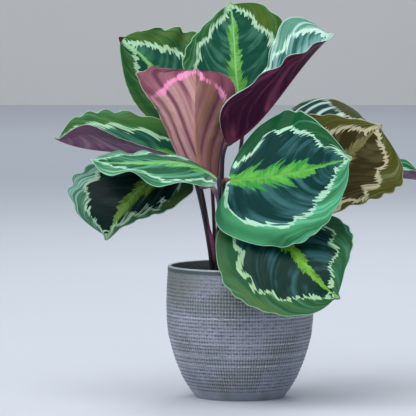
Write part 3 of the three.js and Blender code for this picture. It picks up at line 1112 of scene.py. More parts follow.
MARKINGS: dict[str, Markings] = {
    "front_right": Markings(
        band_left=(0.42, 0.70, 0.71, 0.68, 0.59, 0.46, 0.9),
        band_right=(0.57, 0.73, 0.70, 0.67, 0.58, 0.38, 0.1),
        scallop=(5.2, 4.5, 0.1),
        band_half=1.6,
        feather=(24, 4.2, 0.15),
        feather_end=0.78,
        narrowing=0.32,
        olive=(0.05, 0.1),
        light=(0.0, 0.9),
    ),
    "hanging_right": Markings(
        band_left=(0.74, 0.74, 0.72, 0.66, 0.58, 0.32, 0.1),
        band_right=(0.62, 0.69, 0.71, 0.72, 0.66, 0.46, 0.15),
        scallop=(6, 4.5, 0.3),
        band_half=1.2,
        feather=(17, 4, 0.4),
        feather_end=0.97,
        narrowing=0.85,
        olive=(0.05, 0.35),
        light=(0.2, 0.45),
    ),
    "bronze_right": Markings(
        band_left=(0.8, 0.8, 0.78, 0.72, 0.52, 0.5, 0.1),
        band_right=(0.86, 0.87, 0.84, 0.77, 0.62, 0.48, 0.1),
        scallop=(7, 4, 0.2),
        band_half=2.0,
        feather=(21, 3, 0.1),
        feather_end=0.9,
        olive=(0.15, 0.2),
        light=(0.4, 0.35),
    ),
    "back_right": Markings(
        band_left=(1.3, 1.3, 1.28, 1.2, 0.9, 0.1, -0.3),
        band_right=(1.3, 1.3, 1.28, 1.2, 0.9, 0.1, -0.2),
        band_half=1.0,
        olive=(0.9, 0.6),
    ),
    "far_right": Markings(
        band_left=(0.7, 0.72, 0.7, 0.66, 0.6, 0.4, 0.1),
        band_right=(0.7, 0.72, 0.7, 0.66, 0.6, 0.4, 0.1),
    ),
    "top": Markings(
        band_left=(0.73, 0.73, 0.73, 0.72, 0.63, 0.47, 0.7),
        band_right=(0.8, 0.79, 0.75, 0.69, 0.57, 0.4, 0.3),
        scallop=(5, 4, 0.1),
        band_half=2.0,
        feather=(17, 3, 0.5),
        feather_end=0.92,
        olive=(0.1, 0.6),
        light=(0.3, 0.3),
    ),
    "top_left": Markings(
        band_left=(0.6, 0.6, 0.56, 0.5, 0.42, 0.16, 0.05),
        band_right=(0.6, 0.6, 0.57, 0.51, 0.44, 0.24, 0.1),
        scallop=(3.5, 4, 0.3),
        band_half=2.2,
        feather=(12, 3, 0.2),
        olive=(0.3, 0.4),
        light=(0.3, 0.25),
        dry=True,
    ),
    "upright": Markings(
        band_left=(0.7, 0.72, 0.74, 0.74, 0.70, 0.42, 0.1),
        band_right=(0.9, 0.9, 0.9, 0.9, 0.88, 0.46, 0.1),
        scallop=(4, 4, 0),
        band_half=2.3,
        olive=(0.9, 0.0),
        band_from=0.68,
    ),
    "rising_right": Markings(
        band_left=(0.97, 0.97, 0.97, 0.88, 0.71, 0.6, 0.9),
        band_right=(0.82, 0.84, 0.85, 0.88, 0.88, 0.6, 0.3),
        scallop=(3, 5, 0.2),
        band_half=1.9,
        feather=(13, 4, 0),
        light=(0.6, 0.5),
    ),
    "upper_left": Markings(
        band_left=(0.66, 0.68, 0.68, 0.66, 0.62, 0.5, 0.2),
        band_right=(0.5, 0.52, 0.56, 0.62, 0.63, 0.6, 0.4),
        scallop=(3.5, 5, 0.15),
        band_half=1.8,
        feather=(14, 4, 0.3),
        olive=(0.1, 0.3),
        light=(0.5, 0.6),
    ),
    "middle_left": Markings(
        band_left=(0.62, 0.86, 0.79, 0.68, 0.5, 0.27, 0.1),
        band_right=(0.8, 0.82, 0.82, 0.8, 0.73, 0.56, 0.4),
        scallop=(3.2, 6, 0.2),
        feather=(17, 4, 0.2),
        feather_end=0.9,
        olive=(0.02, 0.15),
        light=(0.45, 0.85),
    ),
    "drooping_left": Markings(
        band_left=(0.5, 0.66, 0.76, 0.76, 0.64, 0.46, 0.2),
        band_right=(0.8, 0.8, 0.78, 0.76, 0.7, 0.58, 0.6),
        scallop=(6, 5, 0.3),
        band_half=1.5,
        feather=(20, 4, 0.3),
        feather_end=0.9,
        olive=(0.5, 0.05),
        light=(0.2, 0.6),
    ),
}

FACES: dict[str, tuple[Face, Reverse]] = {
    "front_right": (Face.FRESH, Reverse.WINE),
    "hanging_right": (Face.SHADED, Reverse.WINE),
    "bronze_right": (Face.BRONZE, Reverse.WINE),
    "back_right": (Face.STRIPED, Reverse.WINE),
    "far_right": (Face.FRESH, Reverse.VIOLET),
    "top": (Face.CANOPY, Reverse.WINE),
    "top_left": (Face.CANOPY, Reverse.WINE),
    "upright": (Face.CANOPY, Reverse.BACKLIT_BLUSH),
    "rising_right": (Face.SKY_SHEEN, Reverse.WINE),
    "upper_left": (Face.CANOPY, Reverse.VIOLET),
    "middle_left": (Face.GLOSSY, Reverse.WINE),
    "drooping_left": (Face.DEEP_SHADE, Reverse.WINE),
}

BAND_TIP = 0.975  # where the band closes round the tip, a share of the length
BAND_CLOSE = 0.14  # over this share of the length
BAND_SAMPLES = 300
BAND_FADE = 0.1  # share of the length over which the band starts to show
BAND_STAGGER = 0.4  # the arcs of the two halves stand apart by this share of an arc
BAND_HALF_LEAST = 8  # millimetres of half-width below which the arcs get no larger
DISTANCE_PARTS = 16  # distances to the band are worked out in as many parts, to save memory
FEATHER_LEAN = 0.55  # how far the feather's teeth lean to the tip
FEATHER_STAGGER = 0.35
FEATHER_OPEN = 0.16  # share of the length over which the feather opens
FEATHER_FULL = 0.18  # and from which it narrows
WEDGE_BASE = 7.5  # half-widths of the thin wedge beside the midrib, at base and tip
WEDGE_TIP = 0.6
DRY_FROM = 0.955  # share of the length past which a dried tip is brown
DRY_TO = 0.97
DRY_COLOUR = (0.05, 0.02, 0.012)
VEIN_COUNT = 46  # fine side veins along a blade
SHEEN = 0.07  # strength of the leaves' reflection
SIDE_SHIFT = 7.0  # sets the noise of the two halves apart
UNDER_SHIFT = 30.0  # and that of a blade's two faces
SEED_STEP = 3.7  # and that of two leaves
STROKE_ROUGHNESS = 0.55


@dataclass(frozen=True)
class Strokes:
    """Brushed noise: strokes along the blade, changes along each, and a shift of its own."""

    count: float
    changes: float
    shift: float


FINE = Strokes(58, 3.0, 0.0)
SMALL = Strokes(26, 1.6, 3.0)
HEART_STRIPES = Strokes(12, 0.8, 6.0)
HEART_LINES = Strokes(30, 1.4, 3.0)
HEART_CLOUDS = Strokes(3.5, 2.6, 20.0)
MARGIN_LINES = Strokes(24, 2.2, 33.0)
MARGIN_STRIPES = Strokes(9, 1.4, 39.0)
MARGIN_CLOUDS = Strokes(3.0, 3.0, 36.0)
FEATHER_TEETH = Strokes(44, 2.0, 12.0)
FEATHER_TUFTS = Strokes(20, 2.0, 17.0)
FEATHER_CLOUDS = Strokes(11, 1.8, 50.0)
BAND_OUTSIDE = Strokes(44, 1.5, 15.0)
BAND_INSIDE = Strokes(40, 1.2, 9.0)
BAND_WIDTH = Strokes(17, 2.0, 24.0)
UNDER_FINE = Strokes(58, 2.4, 0.0)
UNDER_SMALL = Strokes(22, 1.6, 3.0)


class Brush:
    """Noise drawn out along a blade's fine veins, of about -1 to 1."""

    def __init__(self, nodes: Nodes, seed: float, lean: float = 0.0) -> None:
        """Reads the pattern's map.

        Args:
            nodes: Tree to write in.
            seed: Shift of the noise, so that no two leaves are alike.
            lean: How much more than the veins the strokes lean to the tip.
        """
        root, across = nodes.uv(UV_NAME)
        self.nodes = nodes
        self.seed = seed
        self.side = across.step(0.499, 0.501) * SIDE_SHIFT
        self.out = abs(across * 2.0 - 1.0)
        self.start = root - self.out * lean

    def __call__(self, kind: Strokes) -> Value:
        """Noise at (start * count, out * changes, side + seed + shift)."""
        side = self.side + (self.seed + kind.shift)
        where = self.nodes.vector(self.start * kind.count, self.out * kind.changes, side)
        return self.nodes.noise(where, 1.0, 2.0, STROKE_ROUGHNESS)


def fine_veins(nodes: Nodes) -> Value:
    """Evenly spaced fine side veins, 0 on a vein and 1 between two."""
    return abs((nodes.uv(UV_NAME)[0] * (VEIN_COUNT * math.pi)).sine())


@dataclass(frozen=True)
class UpperFinish:
    """Glossy upper face: dark heart, pale brushed band, green margin, bright feather."""

    colours: FaceColours
    marks: Markings
    seed: float

    def heart(self, nodes: Nodes, strokes: Brush) -> bpy.types.NodeSocket:
        """Dark heart with stripes of painted sheen, or with pale lines of painted highlight, between its
        main veins.
        """
        colours = self.colours
        fine, small, wide = strokes(FINE), strokes(HEART_LINES), strokes(HEART_STRIPES)
        if colours.lines:
            # painted highlights along the veins, in place of the sheen stripes
            vein = abs((nodes.uv(UV_NAME)[0] * (colours.lines * math.pi) + wide * 0.3).sine())
            stripes = (vein + fine * 0.3).step(0.62, 0.2)
        else:
            cloud = strokes(HEART_CLOUDS)
            stripes = (wide * 0.95 + small * 0.35 + cloud * 0.8 + colours.sheen_stripe_share).step(0.05, 0.85)
        # painted sheen: the heart lightens to the stripe colour along its veins
        body = nodes.mix(stripes, colours.dark, colours.sheen_stripe)
        return nodes.tone(body, fine * 0.14 + small * 0.1 + 1.0)

    def margin(self, nodes: Nodes, strokes: Brush) -> bpy.types.NodeSocket:
        """Smooth green margin with painted light and painted sheen where it catches the light, olive in
        places.
        """
        colours = self.colours
        fine, small, wide = strokes(FINE), strokes(MARGIN_LINES), strokes(MARGIN_STRIPES)
        cloud, light = strokes(MARGIN_CLOUDS), nodes.attribute("light")
        # painted light, then painted sheen, where the light attribute and the noise run high
        glow = (light + cloud * 0.7 + wide * 0.5 + small * 0.3).step(0.0, 1.0)
        body = nodes.mix(glow, colours.margin, colours.sunny)
        catch = (light * 0.5 + wide * 1.0 + small * 0.6 + fine * 0.25).step(0.25, 0.85)
        body = nodes.mix(catch * 0.8, body, colours.sheen)
        bronzed = (nodes.attribute("olive") + cloud * 0.5 + small * 0.15).step(0.05, 0.95)
        body = nodes.mix(bronzed, body, colours.olive)
        return nodes.tone(body, fine * 0.12 + small * 0.14 + 1.0)

    def material(self, name: str) -> bpy.types.Material:
        """Writes the material.

        The band is where the distance from its centre line is under its half-width, and the
        feather where the distance from the midrib is under its reach; both limits are shifted
        by noise drawn out along the fine veins, which gives the brushed, toothed edges.

        Args:
            name: Name of the material.

        Returns:
            The material.
        """
        nodes = Nodes(name)
        strokes = Brush(nodes, self.seed)
        fine, small = strokes(FINE), strokes(SMALL)
        colours = self.colours
        band, rib = nodes.attribute("band"), nodes.attribute("rib")
        split = (band + fine * 1.6 + small * 1.2).step(-0.8, 0.8)
        body = nodes.mix(split, self.heart(nodes, strokes), self.margin(nodes, strokes))

        leaning = Brush(nodes, self.seed, FEATHER_LEAN)
        tooth = (leaning(FEATHER_TEETH) * 0.75 + leaning(FEATHER_TUFTS) * 0.4 + 0.45).above(0.0)
        edge = rib - nodes.attribute("reach") * (tooth * 0.72 + 0.36)
        away = (rib * 0.05 + leaning(FEATHER_CLOUDS) * 0.9 + fine * 0.5 + 0.3).step(0.0, 1.0)
        plume = nodes.mix(away, colours.bright, colours.feather)
        body = nodes.mix(edge.step(0.45, -0.45), body, plume)

        swing = strokes(BAND_OUTSIDE).step(-0.42, 0.42) * 2.0 - 1.0
        comb = strokes(BAND_INSIDE).step(-0.3, 0.5)
        half = strokes(BAND_WIDTH) * 1.4 + (self.marks.band_half - 0.3)
        outer = band - half - swing * 1.5
        inner = half * -1.0 - band - comb * 4.2 + 0.9
        pale = outer.above(inner).step(0.4, -0.4) * (fine * 0.4 + 0.92)
        body = nodes.mix(pale * self.marks.band_shown(nodes), body, colours.band)

        body = nodes.mix(nodes.attribute("line").step(0.25, -0.25) * 0.9, body, colours.rib)
        # pale line along the margin: partly its own colour, partly painted edge highlight
        body = nodes.mix(nodes.attribute("rim").step(0.7, 0.25) * 0.7, body, colours.band)
        if self.marks.dry:
            body = nodes.mix(nodes.attribute("along").step(DRY_FROM, DRY_TO), body, DRY_COLOUR)

        height = fine_veins(nodes) * 0.05 + fine * 0.04 + small * 0.08
        rough = small * 0.05 + fine * 0.04 + colours.gloss
        sockets = {"Base Color": body, "Roughness": rough, "Normal": nodes.bump(height)}
        return nodes.finish({**sockets, "Specular IOR Level": SHEEN})


@dataclass(frozen=True)
class LowerFinish:
    """Satin underside: raised side veins, pale stripes partly painted as ridge highlights, painted shade
    in the pleats' grooves, the band shining through, a pale edge partly painted as an edge highlight.
    """

    colours: ReverseColours
    marks: Markings
    seed: float

    def material(self, name: str) -> bpy.types.Material:
        """Writes the material.

        Args:
            name: Name of the material.

        Returns:
            The material.
        """
        nodes = Nodes(name)
        strokes = Brush(nodes, self.seed + UNDER_SHIFT)
        colours = self.colours
        fine, small = strokes(UNDER_FINE), strokes(UNDER_SMALL)
        wide = strokes(Strokes(colours.folds, 1.1, 6.0))
        band, rib = nodes.attribute("band"), nodes.attribute("rib")

        # pale stripes: partly own colour, partly painted ridge highlights
        stripes = (wide * 0.9 + small * 0.5 + 0.35).step(0.0, 1.1)
        body = nodes.mix(stripes, colours.plain, colours.light)
        olive = (nodes.attribute("olive") + wide * 0.2).step(0.15, 1.0)
        body = nodes.mix(olive * 0.85, body, colours.olive)
        body = nodes.mix((band + fine * 1.2).step(0.5, 4.0) * 0.7, body, colours.margin)
        # painted shade in the pleats' grooves
        groove = (nodes.attribute("groove") + small * 0.15).step(0.1, 1.0)
        body = nodes.mix(groove * (wide * 1.5 + 0.65).step(0.0, 1.0), body, colours.groove)
        edge = abs(band) - self.marks.band_half - small * 3.0 - fine * 1.8 - wide * 2.0
        shown = self.marks.band_shown(nodes) * (wide * 1.3 + small * 0.5 + 0.75).step(0.0, 0.9)
        body = nodes.mix(edge.step(1.3, -1.3) * shown * colours.clear, body, colours.band)
        near_rib = (rib - 1.5).step(0.6, -0.6) * nodes.attribute("along").step(colours.rib_end, 0.2)
        body = nodes.mix(near_rib * 0.75, body, colours.rib)
        # pale edge: partly own colour, partly painted edge highlight
        body = nodes.mix(nodes.attribute("rim").step(0.9, 0.3) * 0.75, body, colours.edge)
        body = nodes.tone(body, fine * 0.08 + small * 0.1 + 1.0)

        height = fine_veins(nodes) * -0.1 + fine * 0.05 + small * 0.1
        rough = small * 0.05 + 0.45
        sockets = {"Base Color": body, "Roughness": rough, "Normal": nodes.bump(height)}
        return nodes.finish({**sockets, "Specular IOR Level": SHEEN})


# ---- blades ----------------------------------------------------------------------------------


@dataclass
class Blade:
    """One leaf blade with its rounded margin, midrib and pattern."""

    name: str
    shape: LeafShape
    marks: Markings
    face: Face
    reverse: Reverse
    seed: int
    rows: int = BLADE_ROWS
    cols: int = BLADE_COLS

    def grid(self) -> tuple[Array, Array]:
        """Grid over the blade, closer at the tip and beside the midrib.

        u = 1 - (1 - t^2.2)^1.6 from base to tip and v = sign(s)|s|^1.35 from margin to margin,
        for t and s at even steps.

        Returns:
            u and v, a row for each step from base to tip.
        """
        t = np.linspace(0, 1, self.rows)
        s = np.linspace(-1, 1, self.cols)
        u = 1 - (1 - t**ROW_POWER) ** TIP_POWER
        return np.meshgrid(u, np.sign(s) * np.abs(s) ** COLUMN_POWER, indexing="ij")

    def band_share(self, u: Array, left: Array) -> Array:
        """Share of the way from midrib to margin at which the band's centre lies.

        Seven values joined by straight lines, pushed out in arcs with cusps between them, and
        closed round the tip by a square root.
        """
        marks = self.marks
        steps = np.linspace(0, 1, len(marks.band_left))
        base = by_half(left, [np.interp(u, steps, way) for way in (marks.band_left, marks.band_right)])
        depth, count, phase = marks.scallop
        arcs = np.abs(np.sin(math.pi * (count * u + phase + BAND_STAGGER * left))) - ARC_MIDDLE
        share = base + depth * arcs / np.maximum(self.shape.outline(u, left), BAND_HALF_LEAST)
        return np.clip(share, 0.02, 0.97) * np.sqrt(np.clip((BAND_TIP - u) / BAND_CLOSE, 0, 1))

    def band_distance(self, points: Array, u: Array, v: Array) -> Array:
        """Distance of each point from the band's centre line, positive outside it, mm."""
        run = np.linspace(0, BAND_TIP, BAND_SAMPLES)
        where = np.concatenate([run, run])
        left = np.arange(2 * BAND_SAMPLES) < BAND_SAMPLES
        shares = self.band_share(where, left) * np.where(left, -1, 1)
        line = self.shape.surface(where, shares)[0]
        flat = points.reshape(-1, 3)
        parts = np.array_split(flat, DISTANCE_PARTS)
        nearest = [np.linalg.norm(part[:, None] - line[None], axis=-1).min(1) for part in parts]
        nearest = np.concatenate(nearest).reshape(u.shape)
        outside = (np.abs(v) > self.band_share(u, v < 0)) | (u > BAND_TIP)
        return np.where(outside, nearest, -nearest)

    def feather_reach(self, u: Array, v: Array) -> Array:
        """How far the bright feather reaches from the midrib, mm.

        It opens from the base, narrows towards its end, and rises in clumps that lean to the tip
        and end abruptly; past its end a thin wedge runs on along the midrib.
        """
        left, end = v < 0, self.marks.feather_end
        reach, count, phase = self.marks.feather
        opening = 0.3 + 0.7 * step(u, 0, FEATHER_OPEN)
        run = np.clip((u - FEATHER_FULL) / (end - FEATHER_FULL), 0, 1)
        narrowing = 1 - self.marks.narrowing * run
        closing = 1 - step(u, end - 0.2, end + 0.02)
        saw = (count * (u - FEATHER_LEAN * np.abs(v)) + phase + FEATHER_STAGGER * left) % 1
        clumps = 0.42 + 0.58 * np.minimum(saw**0.9, (1 - saw) * 9)
        wedge = WEDGE_BASE * (1 - u) + WEDGE_TIP
        return np.maximum(reach * opening * narrowing * clumps * closing, wedge)

    def section(self, u: Array, v: Array) -> tuple[Array, Array, Array]:
        """Closed ring of points at each step from base to tip.

        Two faces lie a blade's thickness apart and join round the margin. The upper one has a
        gutter over the midrib and swells between the main side veins; the lower one carries the
        midrib, a ridge that fades to the tip.

        Args:
            u: Place over the side veins.
            v: Place along them.

        Returns:
            Points of the rings, points of the middle surface, and distances from the midrib.
        """
        middle, normal, x = self.shape.surface(u, v)
        a = np.abs(v)
        swell = np.abs(np.sin(math.pi * QUILT_COUNT * u)) - ARC_MIDDLE
        ripple = value_noise(u * 9 + 5, v * 3 + 20, self.seed) * RIPPLE_RISE
        lift = (QUILT_RISE * swell + ripple) * step(a, QUILT_FROM, QUILT_TO) * calm_ends(u)
        middle = middle + normal * lift[..., None]
        half = BLADE_EDGE / 2 + (BLADE_THICK - BLADE_EDGE) / 2 * (1 - step(a, THIN_FROM, 1))
        ends = step(u, 0, GUTTER_FROM) * (1 - step(u, GUTTER_TO, 1))
        gutter = GUTTER_DEPTH * bell(x, 0, GUTTER_HALF) * ends
        ridge = MIDRIB_HEIGHT * (1 - u) ** MIDRIB_FADE * bell(x, 0, MIDRIB_HALF)
        upper = middle + normal * (half - gutter)[..., None]
        lower = middle - normal * (half + ridge)[..., None]
        outward = unit(middle[:, [0, -1]] - middle[:, [1, -2]])
        rims = middle[:, [0, -1]] + outward * (RIM_BULGE + BLADE_EDGE / 2)
        points = np.concatenate([upper, rims[:, 1:], lower[:, ::-1], rims[:, :1]], axis=1)
        return points, middle, x

    def build(self) -> bpy.types.Object:
        """Builds the blade from its rings and hands its pattern to the two faces' materials.

        Returns:
            The finished piece.
        """
        u, v = self.grid()
        points, middle, x = self.section(u, v)
        ring = points.shape[1]

        def around(values: Array) -> Array:
            """Values of the grid carried round the ring: upper face, margin, lower face, margin."""
            return np.concatenate([values, values[:, -1:], values[:, ::-1], values[:, :1]], axis=1)

        column = np.tile(np.arange(ring), self.rows - 1)
        slots = np.where((column > self.cols) & (column < ring - 1), 1, 0)
        values = self.pattern(middle, u, v, x)
        surface = Surface(
            points=points.reshape(-1, 3),
            quads=grid_quads(self.rows, ring, True),
            caps=end_caps(self.rows, ring),
            uv=np.stack([around(self.shape.vein_root(u, v)), around((v + 1) / 2)], -1).reshape(-1, 2),
            values={key: around(value).ravel() for key, value in values.items()},
            slots=np.concatenate([slots, [0, 0]]),
        )
        shift = self.seed * SEED_STEP
        upper_face = UpperFinish(self.face.value, self.marks, shift).material(f"upper_{self.name}")
        lower_face = LowerFinish(self.reverse.value, self.marks, shift).material(f"under_{self.name}")
        return surface.outward().piece(f"leaf_{self.name}", [upper_face, lower_face])

    def pattern(self, middle: Array, u: Array, v: Array, x: Array) -> dict[str, Array]:
        """What the materials read at each point.

        Args:
            middle: Points of the middle surface.
            u: Place along the midrib.
            v: Place along the side veins.
            x: Distance from the midrib.

        Returns:
            Distances in millimetres from the band, the margin, the midrib and the midrib's pale
            line, reach of the feather, place along the midrib, and shares of olive, of painted
            light and sheen on the margin, and of painted shade in the pleats' grooves.
        """
        left = v < 0
        a = np.abs(v)
        width = np.linalg.norm(middle[:, [0, -1]] - middle[:, [self.cols // 2]], axis=-1)
        width = by_half(left, (width[:, :1], width[:, 1:]))
        tint = by_half(left, self.marks.olive)
        mottle = value_noise(u * 5 + 3, v * 3 + 9, self.seed + 40)
        pleated = float(self.shape.pleat[0] != 0)
        # where the pleats' valleys lie, for their painted shade
        grooved = pleated * (1 - step(self.shape.pleats(u, v), 0, 0.9)) * step(a, 0.02, 0.1)
        return {
            "band": self.band_distance(middle, u, v),
            "reach": self.feather_reach(u, v),
            "along": u,
            "rim": (1 - a) * width,
            "rib": np.abs(x),
            "line": np.abs(x) - (1.1 - 0.8 * u),
            "olive": np.clip(tint + 0.5 * mottle * tint, 0, 1),
            # painted light and sheen on the margin: set per half, more towards its edge
            "light": by_half(left, self.marks.light) + 0.25 * (a - 0.85) + 0.15 * mottle,
            "groove": grooved,
        }


# ---- petioles --------------------------------------------------------------------------------


@dataclass(frozen=True)
class StalkColours:
    """Linear colours of a petiole: its length, streaks, swollen joint and sheath's wing."""

    plain: Colour
    streak: Colour
    joint: Colour
    wing: Colour = (0.42, 0.11, 0.27)


class Stalk(Enum):
    """The petioles of this plant."""

    DARK = StalkColours((0.010, 0.006, 0.014), (0.036, 0.022, 0.038), (0.04, 0.016, 0.025))
    MAROON = StalkColours((0.05, 0.012, 0.030), (0.16, 0.05, 0.09), (0.12, 0.05, 0.05))
    MAUVE = StalkColours((0.13, 0.09, 0.125), (0.24, 0.17, 0.21), (0.36, 0.22, 0.19))


STALKS: dict[str, Stalk] = {
    "upright": Stalk.MAUVE,
    "drooping_left": Stalk.DARK,
    "middle_left": Stalk.DARK,
    "upper_left": Stalk.DARK,
    "rising_right": Stalk.DARK,
}

WINGED = ("drooping_left", "middle_left", "upper_left")  # petioles that show their sheath's wing
WING_FROM = 128.0  # it lies between these heights, mm
WING_TO = 188.0
WING_OPENS = 14.0  # and rises and falls over these lengths
WING_CLOSES = 34.0
WING_REACH = 3.8
WING_POWER = 14  # how thin it is: power of the cosine round the petiole
WING_TURN = 3.9  # where it stands on the petiole's round, radians
JOINT_FROM = 0.88  # shares of the length between which the joint's colour sets in
JOINT_TO = 0.95
NECK_SHARES = (0.015, 0.035)  # the petiole's last two points lie under the midrib here
NECK_DEPTHS = (1.1, 1.3)  # and this deep under the middle of the blade, mm
NECK_DRAW = 0.45  # share of the radius by which the neck is drawn in
NECK_LENGTH = 7.0
FOOT_SWELL = 0.22  # share of the radius by which the sheathed foot is thicker
FOOT_SWELLS = (SOIL_TOP - 4, SOIL_TOP + 8)  # heights between which that sets in, mm
FOOT_SLIMS = (SOIL_TOP + 4, SOIL_TOP + 55)  # and between which it runs out
STALK_SEED_STEP = 5.1


@dataclass(frozen=True)
class StalkFinish:
    """Smooth waxy skin with fine lengthwise streaks, magenta where the sheath's wing is."""

    colours: StalkColours
    seed: float

    def material(self, name: str) -> bpy.types.Material:
        """Writes the material; streaks are noise drawn out along the petiole."""
        nodes = Nodes(name)
        along, around = nodes.uv(UV_NAME)
        turn = around * math.tau
        ring_x, ring_y = turn.sine(), (turn + math.pi / 2).sine()
        where = nodes.vector(ring_x * 3.0, ring_y * 3.0, along * 4.0 + self.seed)
        streaks = nodes.noise(where, 1.0, 3.0, 0.6)
        speckle = nodes.noise(nodes.vector(ring_x * 2.0, ring_y * 2.0, along * 90.0 + self.seed), 1.0)
        body = nodes.mix((streaks + 0.4).step(0.0, 1.1), self.colours.plain, self.colours.streak)
        body = nodes.mix(along.step(JOINT_FROM, JOINT_TO), body, self.colours.joint)
        body = nodes.mix(nodes.attribute("wing").step(0.05, 0.5), body, self.colours.wing)
        body = nodes.tone(body, speckle * 0.12 + 1.0)
        height = streaks * 0.08 + speckle * 0.03
        rough = speckle * 0.05 + 0.4
        return nodes.finish({"Base Color": body, "Roughness": rough, "Normal": nodes.bump(height)})


@dataclass
class Petiole:
    """One leaf stalk: sheathed foot, slim length, swollen joint, and a neck under the blade."""

    name: str
    shape: LeafShape
    tone: Stalk
    seed: int
    radius: float = PETIOLE_RADIUS
    rings: int = PETIOLE_RINGS
    sides: int = PETIOLE_SIDES

    def centre_line(self) -> Array:
        """Points from the soil to just past the blade's base, where the neck joins the midrib."""
        share = np.array(NECK_SHARES)
        rib, ahead = self.shape.midrib(share)
        looks = self.shape.looks(share, ahead)
        neck = rib - looks * np.array(NECK_DEPTHS)[:, None]
        path = np.vstack([self.shape.petiole_path(), neck])
        run = lengths(path)
        return read_rows(path, run, np.linspace(0, run[-1], self.rings))

    def radii(self, line: Array, share: Array) -> Array:
        """Radius at each point: r * (1 + swelling at the joint + thicker foot) * drawn-in neck.

        Args:
            line: Centre line.
            share: Shares of its length.

        Returns:
            Radii in millimetres.
        """
        to_end = (1 - share) * np.linalg.norm(np.diff(line, axis=0), axis=1).sum()
        joint = PULVINUS_SWELL * bell(to_end, PULVINUS_LENGTH * 0.7, PULVINUS_LENGTH * 0.5)
        height = line[:, 2]
        foot = FOOT_SWELL * (1 - step(height, *FOOT_SLIMS)) * step(height, *FOOT_SWELLS)
        neck = 1 - NECK_DRAW * (1 - step(to_end, 0, NECK_LENGTH))
        return self.radius * (1 + joint + foot) * neck

    def wing(self, height: Array, angle: Array) -> Array:
        """Height of the sheath's wing: cos^14 of half the way round, between two heights."""
        rise = step(height, WING_FROM, WING_FROM + WING_OPENS)
        rise = rise * (1 - step(height, WING_TO - WING_CLOSES, WING_TO))
        fin = np.cos((angle - WING_TURN) / 2) ** WING_POWER
        return float(self.name in WINGED) * rise[:, None] * fin[None]

    def build(self) -> bpy.types.Object:
        """Carries a round section along the path, with the wing standing out of it.

        Returns:
            The finished piece.
        """
        line = self.centre_line()
        ahead = unit(np.gradient(line, axis=0))
        share = np.linspace(0, 1, self.rings)
        across = line[-1] - line[0]
        plane = unit(np.array([across[1], -across[0], 1e-3]))
        side = unit(plane - (ahead @ plane)[:, None] * ahead)
        front = np.cross(ahead, side)
        angle = np.linspace(0, math.tau, self.sides, endpoint=False)
        wing = self.wing(line[:, 2], angle)
        reach = self.radii(line, share)[:, None] + WING_REACH * wing
        cosine, sine = np.cos(angle)[None, :, None], np.sin(angle)[None, :, None]
        ring = cosine * side[:, None] + sine * front[:, None]
        points = line[:, None] + ring * reach[..., None]
        u, v = np.meshgrid(share, angle / math.tau, indexing="ij")
        surface = Surface(
            points=points.reshape(-1, 3),
            quads=grid_quads(self.rings, self.sides, True),
            caps=end_caps(self.rings, self.sides),
            uv=np.stack([u, v], -1).reshape(-1, 2),
            values={"wing": wing.ravel()},
            closed=True,
        )
        skin = StalkFinish(self.tone.value, self.seed * STALK_SEED_STEP).material(f"skin_{self.name}")
        return surface.outward().piece(f"stalk_{self.name}", [skin])


# ---- pot -------------------------------------------------------------------------------------


